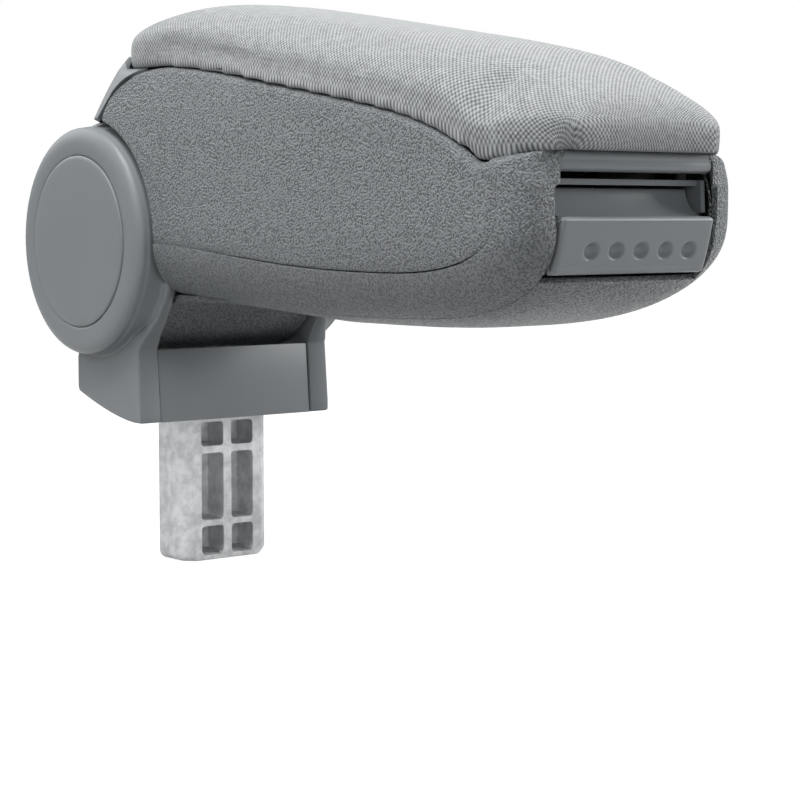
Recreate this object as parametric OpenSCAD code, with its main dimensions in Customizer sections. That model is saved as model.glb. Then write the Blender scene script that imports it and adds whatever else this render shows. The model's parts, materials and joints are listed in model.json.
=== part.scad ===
// Folding car centre armrest: a cast tongue plugs into the console, two round cheeks
// carry the tilt axle, and the arm holds a storage tray under a padded lid.
// X runs across the car, -Y points forwards, +Z up. The origin lies on the seat plane of
// the tongue's shoulder, straight below the tilt axis. All lengths are in millimetres.

/* [Arm body] */
// Width of the arm at its belt line
arm_w = 110; // [104:1:114]
// Reach of the nose ahead of the tilt axis
arm_reach = 284; // [276:1:296]
// Height of the belt line above the seat plane
belt_z = 94; // [92:0.5:97]
// Depth of the belly below the belt line
belly_h = 47.5; // [45:0.5:49]
// Rise of the belly between its lowest stretch and the drum
belly_rise = 6; // [4:0.5:7]
// Height over which the sides would close above the belt line
side_h = 84.6; // [78:0.2:92]
// Roundness of the cross-section, where 2 is an ellipse
roundness = 3.6; // [3:0.1:4]
// Length over which the sides draw in to the nose
nose_len = 60; // [54:1:72]
// Squareness of the nose seen from above
nose_power = 8; // [6:0.5:9]
// Length over which the belly sweeps up to the chin
chin_len = 123; // [110:1:135]
// Wall thickness of the arm mouldings
wall = 2.5; // [2:0.1:3]
// Radius of the lip where the sides turn in under the lid
lip_r = 4; // [3.2:0.1:5]
// Width of the parting gaps between the arm's covers
part_gap = 0.6; // [0.4:0.1:1]
// Depth that the side panels lie below the shells round them
panel_inset = 0.8; // [0.5:0.1:1.2]
// Lowest point of the groove under the side panels
panel_low_z = 68; // [64:1:72]
// Distance of the front end of the side panels behind the nose
panel_setback = 18.4; // [15:0.2:24]
// Length of the curve at the upper rear corner of the side panels
panel_corner_run = 47.5; // [44:0.5:50]
// Height of the curve at the upper rear corner of the side panels
panel_corner_h = 24; // [22:0.5:26]

/* [Rear cover] */
// Lean of the rear cover back from upright, in degrees
rear_lean = 47.7; // [44:0.1:52]
// Corner radius of the rear cover seen from above
rear_r = 30; // [24:1:34]
// Height of the rear cover's top above the parting line
cover_rise = 7; // [4:0.5:7]
// Height of the deck behind the tray
deck_z = 142; // [139:0.5:143]

/* [Lid] */
// Height of the rear of the lid's parting line
lid_z = 150; // [147:0.5:153]
// Fall of the parting line for each millimetre forwards
lid_fall = 0.17; // [0.14:0.01:0.18]
// Extra fall of the parting line at the shoulder
lid_dip = 12; // [8:1:14]
// Gap between the lid and the arm
lid_gap = 0.8; // [0.6:0.1:1.2]
// Thickness of the lid's base plate
lid_base_t = 2.2; // [1.8:0.1:2.8]
// Height of the padded crown above the parting line
crown_h = 24.5; // [20:0.5:28]
// Height of the upright band round the pad
pad_band = 4; // [3:0.5:6]
// Distance of the lid's hinge pin ahead of the tilt axis
lid_pin_y = 7; // [6.5:0.5:10]
// Depth of the lid's hinge pin below the parting line
lid_pin_drop = 4; // [3.6:0.1:4.2]
// Diameter of the lid's hinge pin
lid_pin_d = 4; // [3:0.5:4.5]

/* [Front] */
// Step from the edge of the opening between the shoulders to the inner face of a cheek
mouth_step = 1; // [0.6:0.1:3]
// Height of the chin's upper edge
chin_z = 66.4; // [64:0.2:67]
// Height of the lid's grip strip
strip_h = 5.6; // [4.5:0.1:6.2]
// Height of the top of the front frame's ledge
ledge_z = 101; // [100:0.2:101.6]
// Thickness of the front frame's walls
frame_t = 2; // [1.6:0.1:2.4]
// Height of the top of the latch pad
pad_top_z = 88; // [86:0.5:89]
// Height of the foot of the latch pad
pad_low_z = 68.2; // [67.8:0.2:70]
// Diameter of the latch pin
latch_pin_d = 3; // [2.5:0.5:4]
// Distance between the finger dimples
dimple_pitch = 12; // [10:0.5:14]
// Shift of the row of finger dimples to the right of the middle
dimple_shift = 4.6; // [0:0.2:6]
// Number of finger dimples
dimple_count = 5; // [3:1:5]
// Radius of the ball that shapes a dimple
dimple_ball_r = 6; // [5:0.5:8]
// Depth of a dimple
dimple_deep = 1.4; // [0.8:0.1:2]

/* [Drum and post] */
// Height of the tilt axis above the seat plane
axis_z = 77.2; // [75:0.2:80]
// Distance across the faces of the two drums
drum_w = 118.6; // [114:0.2:124]
// Radius of the drum's rim
drum_r = 49; // [46:0.5:50]
// Radius of the flank that joins the drum to the arm
flank_r = 52; // [51.5:0.5:54]
// Radius of the textured hub between the cheeks
hub_r = 49; // [47:0.5:49.5]
// Width of each cheek, from its cap to the hub
cheek_w = 19.3; // [17:0.1:20]
// Running gap between the hub and each cheek
hub_gap = 0.6; // [0.4:0.1:1]
// Radius of the cap in each drum
cap_r = 37; // [33:0.5:39]
// Thickness of the caps
cap_t = 2.5; // [2:0.1:3]
// Overhang of the drums beyond the sides of the post
overhang = 9.3; // [7:0.1:11]
// Distance of the post's front face ahead of the tilt axis, at its foot
post_front = 36; // [34:0.5:38]
// Distance of the post's rear face behind the tilt axis
post_back = 16; // [14:0.5:18]
// Height of the front panel between the cheeks
panel_h = 31; // [28:0.5:32]
// Backward lean of the post's front face for each millimetre up
front_draft = 0.08; // [0.04:0.01:0.1]
// Height of the post's lower rear corner
post_heel = 11; // [8:0.5:13]
// Wall thickness of the post mouldings
post_wall = 2.5; // [2:0.1:3]

/* [Tongue] */
// Length of the cast tongue below the seat plane
tongue_len = 63.6; // [50:0.2:75]
// Width of the tongue
tongue_w = 47.2; // [44:0.2:50]
// Thickness of the tongue from front to back
tongue_d = 24.4; // [22:0.2:26]
// Distance of the tongue's front face ahead of the tilt axis
tongue_front = 27.2; // [26:0.2:28]
// Width of the chamfers on the tongue's upright edges
tongue_chamfer = 5.3; // [4:0.1:6]
// Width of the pockets in the tongue
pocket_w = 11.6; // [9:0.1:12]
// Width of the rib between the two columns of pockets
pocket_rib = 4.2; // [3:0.1:5]
// Depth of the pockets
pocket_deep = 11; // [8:0.5:14]
// Corner radius of the pockets
pocket_r = 1.6; // [1:0.1:2.4]
// Height of the tongue's stub inside the post
stub_h = 12; // [10:0.5:14]
// Radius at the tongue's lower corners
tip_r = 4; // [2:0.5:6]

/* [Hinge iron] */
// Diameter of the tilt axle
axle_d = 12; // [10:0.5:14]
// Thickness of the steel bracket
iron_t = 3; // [2.5:0.1:4]
// Outer diameter of the arm frame's cross tube
tube_d = 26; // [22:1:28]
// Running clearance in the bushes
run_gap = 0.05; // [0.02:0.01:0.1]
// Width of the arm frame's channel
channel_w = 52; // [44:1:56]
// Thickness of the arm frame's sheet
sheet_t = 2.5; // [2:0.1:3]

/* [Hidden] */

$fn = 64;
far = 400;
eps = 0.01;

// Half widths that several pieces share
arm_half = arm_w / 2;
drum_half = drum_w / 2;
hub_half = drum_half - cheek_w;
hub_face = hub_half - hub_gap;
post_half = drum_half - overhang;
mouth_half = hub_half - mouth_step;
arm_cut_r = flank_r + 1;
seam_gap = part_gap / 2;
belly_half = mouth_half - seam_gap;

// How far the lid's rear corners and its nose draw in from the arm's
lid_back = 15.2;
lid_nose_in = 4.2;
lid_nose_len = 98;
lid_rear = 16.6;

function clamp(v, lo, hi) = min(max(v, lo), hi);
function deep(s, len, p) = pow(max(0, 1 - pow(clamp(s / len, 0, 1), p)), 1 / p);

// Depth of the section below the belt, a wall's thickness t inside the skin
chin_power = 4;
chin_root = 0.4;
belly_low_y = 150;
belly_run = 100;
function belly_depth(y, t) =
    let (s = clamp((-y - (arm_reach - 1 - chin_len)) / (chin_len - t), 0, 1))
    let (rise = belly_rise * clamp((y + belly_low_y) / belly_run, 0, 1))
    max(1, (belly_h - rise) * pow(max(0, 1 - pow(s, chin_power)), chin_root) - t);

// Half width at the belt, squared off at the nose
plan_setback = 4;
nose_start = arm_reach - plan_setback - nose_len;
nose_full = 0.99;
function belt_half(y, t) =
    (arm_half - t) * pow(1 - pow(clamp((-y - nose_start) / (nose_len - t), 0, nose_full), nose_power),
        1 / nose_power);

// How far the nose draws back towards the lid
shoulder_low = belt_z + 3;
shoulder_round = 22;
function shoulder_in(z) = pow(max(0, z - shoulder_low), 2) / (2 * shoulder_round);

// Rear line: a plane that leans back and touches the circle of the arm's rear edge
function rear_y(z, t) = (arm_cut_r - t - (z - axis_z) * sin(rear_lean)) / cos(rear_lean);
round_full_z = 130;
round_low_r = 9;
tangent_z = axis_z + arm_cut_r * sin(rear_lean);
function corner_r(z) =
    let (f = clamp((z - tangent_z) / (round_full_z - tangent_z), 0, 1))
    round_low_r + (rear_r - round_low_r) * f;
function corner_in(y, z, t) =
    let (r = corner_r(z) - t)
    let (d = clamp(y - (rear_y(z, t) - r), 0, r))
    r - sqrt(r * r - d * d);

// Half width of the arm's skin at a station and a height
function flare(d, h) = pow(max(0, 1 - pow(clamp(d / h, 0, 1), roundness)), 1 / roundness);
function skin_half(y, z, t) =
    belt_half(y - shoulder_in(min(z, lid_z - shoulder_drop)) * (y < -nose_start ? 1 : 0), t)
    * flare(z - belt_z, side_h - t) - corner_in(y, z, t);

// The parting line under the lid: level at the rear, then falling, with a shoulder in front
part_start_y = 54;
part_ease = 20;
shoulder_setback = 30;
dip_len = arm_reach - shoulder_setback - part_start_y;
shoulder_drop = 43;
shoulder_z = lid_z - shoulder_drop;
shoulder_slope = 0.145;
function part_run(y) = max(0, -y - part_start_y);
function part_line(y) = lid_z - lid_fall * (sqrt(part_run(y) * part_run(y) + part_ease * part_ease) - part_ease);
function part_z(y) =
    max(part_line(y) - lid_dip * pow(part_run(y) / dip_len, 10),
        shoulder_z + shoulder_slope * (part_run(y) - dip_len));

// Half width of the lid at its edge
function lid_half(y) =
    let (z = part_z(y) - lip_r)
    arm_half * deep(-y - lid_nose_in - (arm_reach - lid_nose_len), lid_nose_len, 4)
        * flare(z - belt_z, side_h)
    - corner_in(y + lid_back, z, 0);

// Stations along the arm, closer together towards the nose
station_count = 26;
station_ease = 1.6;
function station(i, from, to, n) = from + (to - from) * (1 - pow(1 - i / n, station_ease));
nose_setback = 4.6;
nose_end = nose_setback - arm_reach;
skin_y = [for (i = [0:station_count]) station(i, -4, nose_end, station_count)];

// One upright line of the side skin, from under the belly up to the lip under the lid
low_rows = 8;
low_start = 80;
up_rows = 4;
lip_rows = 3;
lip_under = 2.6;
function side_line(y, t) =
    let (top = part_z(y) - lip_r, w = belt_half(y, t), h = belly_depth(y, t), e = 2 / roundness)
    let (outer_top = skin_half(y, top, 0))
    let (lip_x = y > -nose_start ? lip_r : max(lip_r, outer_top - lid_half(y) + lip_under))
    concat(
        [for (k = [0:low_rows])
            let (a = low_start * (1 - k / low_rows))
            [w * pow(cos(a), e), y, belt_z - h * pow(sin(a), e)]],
        [for (k = [1:up_rows])
            let (z = belt_z + (top - belt_z) * k / (up_rows + 1))
            [skin_half(y, z, t), y, z]],
        [for (k = [0:lip_rows])
            let (a = 90 * k / lip_rows)
            [outer_top - lip_x + (lip_x - t) * cos(a), y, top + (lip_r - t) * sin(a)]]
    );

// One line across the belly
belly_rows = 10;
belly_turn = 50;
function belly_line(y, t) =
    let (w = belt_half(y, t), h = belly_depth(y, t), e = 2 / roundness)
    [for (k = [0:belly_rows])
        let (a = belly_turn * (2 * k / belly_rows - 1))
        let (s = sin(a), c = cos(a))
        [w * sign(s) * pow(abs(s), e), y, belt_z - h * pow(c, e)]];

// A closed wall between an outer and an inner grid of points
module wall_between(outer, inner) {
    n = len(outer);
    m = len(outer[0]);
    points = concat([for (r = outer) each r], [for (r = inner) each r]);
    function o(i, j) = i * m + j;
    function q(i, j) = n * m + i * m + j;
    function quad(a, b, c, d) = [[a, b, c], [a, c, d]];
    faces = concat(
        [for (i = [0:n - 2], j = [0:m - 2]) each quad(o(i, j), o(i + 1, j), o(i + 1, j + 1), o(i, j + 1))],
        [for (i = [0:n - 2], j = [0:m - 2]) each quad(q(i, j), q(i, j + 1), q(i + 1, j + 1), q(i + 1, j))],
        [for (i = [0:n - 2]) each quad(o(i, 0), q(i, 0), q(i + 1, 0), o(i + 1, 0))],
        [for (i = [0:n - 2]) each quad(o(i, m - 1), o(i + 1, m - 1), q(i + 1, m - 1), q(i, m - 1))],
        [for (j = [0:m - 2]) each quad(o(0, j), o(0, j + 1), q(0, j + 1), q(0, j))],
        [for (j = [0:m - 2]) each quad(o(n - 1, j), q(n - 1, j), q(n - 1, j + 1), o(n - 1, j + 1))]
    );
    polyhedron(points, faces);
}

// Extrudes an outline drawn in the side view (Y, Z) across the arm from x0 to x1
module across(x0, x1) {
    translate([x0, 0, 0]) rotate([90, 0, 90]) linear_extrude(x1 - x0) children();
}

// A round bar along X at a place in the side view
module bar(x0, x1, y, z, r) {
    translate([x0, y, z]) rotate([0, 90, 0]) cylinder(r = r, h = x1 - x0);
}

function arc(cy, cz, r, a0, a1, n) =
    [for (k = [0:n]) let (a = a0 + (a1 - a0) * k / n) [cy + r * cos(a), cz + r * sin(a)]];

module both_sides() {
    children();
    mirror([1, 0, 0]) children();
}

// Outline of a side panel in the side view, grown by g all round
panel_reach = arm_reach - panel_setback;
groove_front = 82;
groove_low_y = arm_reach - groove_front;
groove_rise = 9;
groove_run = 150;
groove_power = 2.5;
groove_rows = 10;
front_rows = 10;
front_lean = 6;
panel_belt_z = 92;
function groove_z(y, g) = panel_low_z - g + groove_rise * pow((y + groove_low_y) / groove_run, 2);
function panel_points(g) =
    let (r = arm_cut_r - g)
    let (a_low = 180 - asin((panel_low_z + groove_rise - 0.5 - axis_z) / r))
    let (corner_y = -panel_corner_run - 12.5, corner_z = lid_z - panel_corner_h)
    let (a_top = 90 + asin(13 / r))
    let (y_low = r * cos(a_low), z_low = axis_z + r * sin(a_low))
    let (reach = panel_reach + g - groove_low_y, drop = panel_belt_z - panel_low_z + g)
    concat(
        arc(0, axis_z, r, a_top, a_low, 10),
        [for (k = [1:groove_rows])
            let (y = y_low + (-groove_low_y - y_low) * k / groove_rows)
            let (f = 1 - k / groove_rows)
            [y, groove_z(y, g) * (1 - f * f * f) + z_low * f * f * f]],
        [for (k = [1:front_rows])
            let (a = 90 * k / front_rows)
            [-groove_low_y - reach * pow(sin(a), 2 / groove_power),
             panel_belt_z - drop * pow(cos(a), 2 / groove_power)]],
        [[-(panel_reach + g - front_lean / 3), panel_belt_z + 10],
         [-(panel_reach + g - front_lean), part_z(-(panel_reach - front_lean)) + 1 + g]],
        [[-(panel_reach + g - front_lean), lid_z + 20], [corner_y, lid_z + 20]],
        [for (k = [0:7])
            let (a = 90 - 82 * k / 7)
            [corner_y + (panel_corner_run + g) * cos(a), corner_z + (panel_corner_h + g) * sin(a)]]
    );

// The right half of the arm's skin between two depths under the surface
module side_skin(t0, t1) {
    wall_between([for (y = skin_y) side_line(y, t0)], [for (y = skin_y) side_line(y, t1)]);
}

module drum_clearance() {
    both_sides() bar(mouth_half - eps, far, 0, axis_z, arm_cut_r);
}

module panel_right() {
    difference() {
        intersection() {
            side_skin(panel_inset, panel_inset + wall);
            across(0, far) polygon(panel_points(0));
        }
        drum_clearance();
    }
}

// Everything behind and above the groove, which the panels and the rear cover take
module above_groove() {
    pts = panel_points(part_gap);
    last = len(pts) - 1;
    across(0, far) polygon(concat(
        [for (k = [10:last - 9]) pts[k]],
        [[pts[last - 9][0], far], [far, far], [far, axis_z], [0, axis_z]]
    ));
}

module shell_right() {
    difference() {
        side_skin(0, wall);
        above_groove();
        drum_clearance();
        translate([-far, -far, -far]) cube([far + mouth_half, 2 * far, 2 * far]);
    }
}

// Tongue
pocket_rows = [[-12.9, -2.2], [-45.8, -16], [-60.8, -48.5]];
tongue_mid = -tongue_front + tongue_d / 2;
shoulder_w = tongue_w + 12;
shoulder_front = tongue_front + 4;
shoulder_back = 4;
shoulder_t = 6;
bolt_x = 13;
bolt_r = 4;
bolt_deep = 16;
pocket_scale = tongue_len / 63.6;

module tongue() {
    w = tongue_w / 2;
    d = tongue_d / 2;
    c = tongue_chamfer;
    color([0.62, 0.63, 0.64]) difference() {
        union() {
            intersection() {
                translate([0, tongue_mid, -tongue_len]) linear_extrude(tongue_len + stub_h)
                    polygon([[-w, d - c], [-w, c - d], [c - w, -d], [w - c, -d],
                             [w, c - d], [w, d - c], [w - c, d], [c - w, d]]);
                translate([0, far / 2, 0]) rotate([90, 0, 0]) linear_extrude(far) union() {
                    translate([-w, tip_r - tongue_len]) square([2 * w, tongue_len + far]);
                    translate([tip_r - w, -tongue_len]) square([2 * (w - tip_r), tip_r + 1]);
                    for (s = [-1, 1]) translate([s * (w - tip_r), tip_r - tongue_len]) circle(tip_r);
                }
            }
            translate([-shoulder_w / 2, -shoulder_front, 0])
                cube([shoulder_w, shoulder_front + shoulder_back, shoulder_t]);
        }
        for (s = [-1, 1], row = pocket_rows)
            pocket(s * (pocket_w + pocket_rib) / 2, row[0] * pocket_scale, row[1] * pocket_scale);
        for (s = [-1, 1]) translate([s * bolt_x, tongue_mid, stub_h - bolt_deep])
            cylinder(r = bolt_r, h = bolt_deep + 1);
    }
}

// A pocket from the tongue's front face, rounded at its corners
module pocket(x, z0, z1) {
    w = pocket_w / 2 - pocket_r;
    translate([x, pocket_deep - tongue_front, 0]) rotate([90, 0, 0]) linear_extrude(pocket_deep + 1)
        union() {
            translate([-pocket_w / 2, z0 + pocket_r]) square([pocket_w, z1 - z0 - 2 * pocket_r]);
            translate([-w, z0]) square([2 * w, z1 - z0]);
            for (sx = [-1, 1], z = [z0 + pocket_r, z1 - pocket_r]) translate([sx * w, z]) circle(pocket_r);
        }
}

bolt_head_r = 6.5;
bolt_head_h = 6;
module tongue_bolts() {
    color([0.35, 0.36, 0.38]) for (s = [-1, 1]) translate([s * bolt_x, tongue_mid, 0]) {
        translate([0, 0, stub_h - bolt_deep + 1]) cylinder(r = bolt_r - 0.05, h = bolt_deep - 1 + iron_t);
        translate([0, 0, stub_h + iron_t]) cylinder(r = bolt_head_r, h = bolt_head_h, $fn = 6);
    }
}

// Steel bracket: a base plate on the tongue and two ears that hold the axle
ear_gap = 0.9;
ear_in = hub_half + post_wall + ear_gap;
ear_half_w = 15;
bracket_front = tongue_front - 2;
bracket_back = 4;
module post_bracket() {
    color([0.5, 0.52, 0.55]) difference() {
        union() {
            translate([-ear_in - iron_t, -bracket_front, stub_h])
                cube([2 * (ear_in + iron_t), bracket_front + bracket_back, iron_t]);
            both_sides() across(ear_in, ear_in + iron_t) union() {
                translate([0, axis_z]) circle(ear_half_w);
                polygon([[-bracket_front, stub_h], [bracket_back, stub_h], [ear_half_w, axis_z],
                         [-ear_half_w, axis_z]]);
            }
        }
        bar(-far, far, 0, axis_z, axle_d / 2 + run_gap);
        for (s = [-1, 1]) translate([s * bolt_x, tongue_mid, 0]) cylinder(r = bolt_r + 0.3, h = far);
        for (y = screw_ys) bar(-far, far, y, screw_z, screw_r);
    }
}

// Side outline of the post: flat foot in front, then a curve that rises to the heel
foot_flat = 30;
foot_rows = 6;
post_top = 44;
function front_y(z) = -post_front + front_draft * z;
function foot_points(in) =
    [for (k = [0:foot_rows])
        let (s = k / foot_rows)
        [-foot_flat + (post_back - in + foot_flat) * s, in + post_heel * pow(s, 1.5)]];

module post_outline(in, top) {
    polygon(concat(
        [[front_y(top) + in, top], [front_y(0) + in, in]],
        foot_points(in),
        [[post_back - in, top]]
    ));
}

// The centre moulding of the post: front panel, floor round the tongue and low rear wall
cover_gap = 0.4;
cover_sink = 0.6;
rear_wall_z = 20;
module post_cover() {
    x = hub_half - cover_gap;
    color([0.45, 0.47, 0.49]) difference() {
        across(-x, x) difference() {
            intersection() {
                post_outline(0, panel_h);
                translate([cover_sink - post_front, 0]) square([post_front + post_back - cover_sink,
                    panel_h]);
                polygon([[-far, -1], [far, -1], [far, rear_wall_z], [0, rear_wall_z], [-20, panel_h],
                    [-far, panel_h]]);
            }
            translate([cover_sink, 0]) post_outline(post_wall, panel_h + 10);
        }
        translate([-shoulder_w / 2 - cover_gap, -shoulder_front - cover_gap, -1])
            cube([shoulder_w + 2 * cover_gap, shoulder_front + shoulder_back + 2 * cover_gap, 20]);
    }
}

// Cheek: a hollow drum with a pillowed rim, blended into the side of the post
rim_x = 4.6;
bulge = 0.7;
rim_rows = 7;
axle_hole_r = axle_d / 2 + 1;
neck_r = flank_r + 0.3;
function rim_points() =
    [for (k = [0:rim_rows])
        let (a = 90 * k / rim_rows)
        [cap_r + 0.3 + (drum_r - cap_r - 0.3) * sin(a),
         drum_half - bulge - rim_x + rim_x * pow(cos(a), 0.6) + bulge * sin(2 * a)]];
flank_points = [[drum_r + 1, drum_half - 7.4], [drum_r + 1.9, drum_half - 9.6],
    [flank_r, drum_half - 13.5]];

module cheek() {
    cup_x = hub_half + post_wall;
    color([0.47, 0.49, 0.51]) difference() {
        union() {
            translate([0, 0, axis_z]) rotate([0, 90, 0]) rotate_extrude($fn = 96) polygon(concat(
                [[0, hub_half], [0, drum_half - cap_t - 0.2], [cap_r + 0.3, drum_half - cap_t - 0.2]],
                rim_points(), flank_points, [[flank_r, hub_half]]));
            across(hub_half, post_half) post_outline(0, post_top);
            across(hub_half, hub_half + post_wall + 1) neck_outline();
            cheek_fillet();
        }
        // Hollow of the drum, with the ledge that carries the cap
        translate([0, 0, axis_z]) rotate([0, 90, 0]) rotate_extrude($fn = 96) polygon([
            [0, cup_x], [0, drum_half + 1], [cap_r - 3, drum_half + 1], [cap_r - 3, drum_half - cap_t - 3],
            [drum_r - post_wall - 1, drum_half - cap_t - 6], [flank_r - post_wall - 0.5, drum_half - 14],
            [flank_r - post_wall - 0.5, cup_x]]);
        // Hollow of the post, open towards the middle of the post
        across(hub_half - 1, post_half - post_wall) difference() {
            post_outline(post_wall, axis_z - 20);
            translate([0, axis_z]) circle(flank_r + eps);
        }
        across(hub_half + post_wall, post_half - post_wall) polygon([
            [-24, 20], [6, 20], [16, axis_z], [-16, axis_z]]);
        bar(hub_half - 1, far, 0, axis_z, axle_hole_r);
        for (y = screw_ys) bar(0, post_half - post_wall + 1, y, screw_z, screw_r);
    }
}

// Web that carries the drum's flank down to the top of the post's front strip
module neck_outline() {
    polygon(concat(
        arc(0, axis_z, neck_r, 206, 220, 5),
        [[front_y(31), 31], [front_y(31) + 12, 31], [-20, axis_z - 20]]
    ));
}

// Hollow fillet under the drum where it overhangs the side of the post
fillet_r = 7;
fillet_rows = 5;
module cheek_fillet() {
    x = post_half - 1;
    r = drum_r - 2;
    intersection() {
        translate([0, 0, axis_z]) rotate([0, 90, 0]) rotate_extrude($fn = 96) polygon(concat(
            [[r, x], [r, post_half + fillet_r]],
            [for (k = [0:fillet_rows])
                let (a = 90 * k / fillet_rows)
                [drum_r + fillet_r * (1 - sin(a)) * 0.8, post_half + fillet_r * (1 - cos(a)) * 0.8]],
            [[drum_r + fillet_r * 0.8, x]]));
        across(post_half - 1, far) post_outline(0, post_top);
    }
}

module cap() {
    color([0.5, 0.52, 0.54]) union() {
        translate([0, 0, axis_z]) rotate([0, 90, 0]) rotate_extrude($fn = 96) polygon([
            [0, drum_half - cap_t], [0, drum_half + 0.3], [cap_r - 6, drum_half + 0.1],
                [cap_r - 0.6, drum_half - 0.2],
            [cap_r, drum_half - 0.8], [cap_r, drum_half - cap_t]]);
        for (a = [0:120:240]) translate([0, 0, axis_z]) rotate([a, 0, 0])
            translate([drum_half - cap_t - 5, -4, cap_r - 5.4]) cube([5.2, 8, 2]);
    }
}

// Tilt axle, its nut, washers and friction spring
washer_r = 15;
washer_t = 1.5;
head_r = 10.5;
head_h = 7;
spring_t = 2;
module axle_bolt() {
    color([0.45, 0.46, 0.48]) union() {
        bar(-ear_in - iron_t - washer_t, ear_in + iron_t + spring_t + head_h, 0, axis_z, axle_d / 2);
        translate([-ear_in - iron_t - head_h, 0, axis_z]) rotate([0, 90, 0]) cylinder(r = head_r,
            h = head_h, $fn = 6);
    }
}

module axle_nut() {
    color([0.5, 0.5, 0.52]) difference() {
        translate([ear_in + iron_t + spring_t, 0, axis_z]) rotate([0, 90, 0]) cylinder(r = head_r,
            h = head_h - 1, $fn = 6);
        bar(0, far, 0, axis_z, axle_d / 2 + run_gap);
    }
}

module thrust_washer() {
    color([0.85, 0.84, 0.78]) difference() {
        bar(hub_face + 0.1, ear_in - 0.1, 0, axis_z, axle_hole_r - 0.3);
        bar(0, far, 0, axis_z, axle_d / 2 + run_gap);
    }
}

module friction_spring() {
    color([0.55, 0.55, 0.5]) translate([ear_in + iron_t, 0, axis_z]) rotate([0, 90, 0])
        rotate_extrude() polygon([[axle_d / 2 + 0.3, 0.8], [axle_d / 2 + 0.3, spring_t],
            [washer_r - 4, spring_t],
                                  [washer_r, 1.2], [washer_r, 0], [washer_r - 1, 0]]);
}

// Screws that draw the cheeks onto the bracket
screw_r = 2;
screw_head_h = 2;
screw_ys = [-18, 0];
screw_z = 20;
screw_head_r = 3.6;
module cheek_screws() {
    color([0.3, 0.3, 0.32]) both_sides() for (y = screw_ys) {
        bar(ear_in - screw_head_h, ear_in, y, screw_z, screw_head_r);
        bar(ear_in - 1, post_half - post_wall + 0.8, y, screw_z, screw_r - 0.1);
    }
}

// Belly: textured underside, chin and hub barrel in one moulding
fillet_big = 14;
boss_r = 4.6;
belly_screw_y = [-110, 79 - arm_reach];
belly_screw_x = 17;
belly_screw_r = 1.8;
belly_head_r = 3.8;
belly_head_h = 2.4;
belly_seat_z = belt_z - belly_h + 6.6;
web_z = 66;
module belly_shell() {
    y_end = -hub_r + 7;
    belly_y = [for (i = [0:station_count]) station(i, y_end, nose_end, station_count)];
    under_z = belt_z - belly_depth(-hub_r, 0);
    fc_z = under_z - fillet_big;
    fc_y = -sqrt(pow(hub_r + fillet_big, 2) - pow(axis_z - fc_z, 2));
    a_hub = atan2(axis_z - fc_z, -fc_y);
    color([0.5, 0.52, 0.53]) difference() {
        union() {
            intersection() {
                wall_between([for (y = belly_y) belly_line(y, 0)], [for (y = belly_y) belly_line(y, wall)]);
                translate([-belly_half, -far, -far]) cube([2 * belly_half, 2 * far, far + chin_z]);
            }
            difference() {
                bar(-hub_face, hub_face, 0, axis_z, hub_r);
                bar(wall - hub_face, hub_face - wall, 0, axis_z, hub_r - wall);
            }
            across(-belly_half, belly_half) polygon(concat(
                [[fc_y, under_z + 1]],
                arc(fc_y, fc_z, fillet_big, 90, a_hub, 6),
                [[-(hub_r - 1) * cos(a_hub), axis_z - (hub_r - 1) * sin(a_hub)],
                    [-hub_r + 6.6, under_z + 1]]));
            for (s = [-1, 1], y = belly_screw_y) translate([s * belly_screw_x, y, belt_z - belly_h + 1.6])
                cylinder(r = boss_r, h = web_z - (belt_z - belly_h) - 1.8);
        }
        bar(-far, far, 0, axis_z, tube_d / 2 + 0.4);
        // Slot that lets the frame's channel out of the barrel
        translate([-channel_w / 2 - 1, -hub_r - 4, web_z - 12]) cube([channel_w + 2, hub_r - 4, 18]);
        for (s = [-1, 1], y = belly_screw_y) translate([s * belly_screw_x, y, 0]) {
            cylinder(r = belly_screw_r + 0.2, h = far);
            cylinder(r = belly_head_r + 0.4, h = belly_seat_z);
        }
    }
}

module belly_screws() {
    color([0.3, 0.3, 0.32]) for (s = [-1, 1], y = belly_screw_y)
        translate([s * belly_screw_x, y, belly_seat_z - belly_head_h - 0.1]) {
            cylinder(r = belly_head_r, h = belly_head_h);
            cylinder(r = belly_screw_r, h = web_z + sheet_t - belly_seat_z + belly_head_h);
        }
}

module side_shell_right() {
    color([0.5, 0.52, 0.53]) shell_right();
}

module side_panel_right() {
    color([0.49, 0.51, 0.52]) panel_right();
}

// Rear cover: leaning back, rounded in plan, with the deck and hinge ears behind the tray
cover_rows = 6;
plan_rows = 6;
cover_front = 46;
tray_back = 58;
deck_half = 44;
deck_split = 14;
sector_low = -8;
sector_lip = -12;
ear_x = [16, 33];
hinge_ear_t = 3;
hinge_ear_r = 4;
knuckle_x = [ear_x[0] + hinge_ear_t / 2 + 0.3, ear_x[1] - hinge_ear_t / 2 - 0.3];
pin_z = lid_z - lid_pin_drop;

// One level of the cover seen from above, from the left front round the rear to the right front
function plan_half(z, t, in) =
    let (w = (arm_half - t) * flare(z - belt_z, side_h - t) - in)
    let (r = corner_r(z) - t - in, yr = rear_y(z, t) - in)
    concat([[w, -cover_front], [w, (yr - r - cover_front) / 2]],
           [for (k = [0:plan_rows]) let (a = 90 * k / plan_rows) [w - r + r * cos(a),
               yr - r + r * sin(a)]]);
function plan_line(z, t, in) =
    let (half = plan_half(z, t, in), n = len(half) - 1)
    concat([for (k = [0:n]) [-half[k][0], half[k][1], z]],
        [for (k = [n:-1:0]) [half[k][0], half[k][1], z]]);
function cover_levels(t) =
    let (top = lid_z - lip_r)
    concat(
        [for (k = [lip_rows:-1:1])
            let (a = 90 * k / lip_rows)
            plan_line(top + (lip_r - t) * sin(a), 0, lip_r - (lip_r - t) * cos(a))],
        [for (k = [0:cover_rows]) plan_line(top + (tangent_z - 1 - top) * k / cover_rows, t, 0)]);

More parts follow.
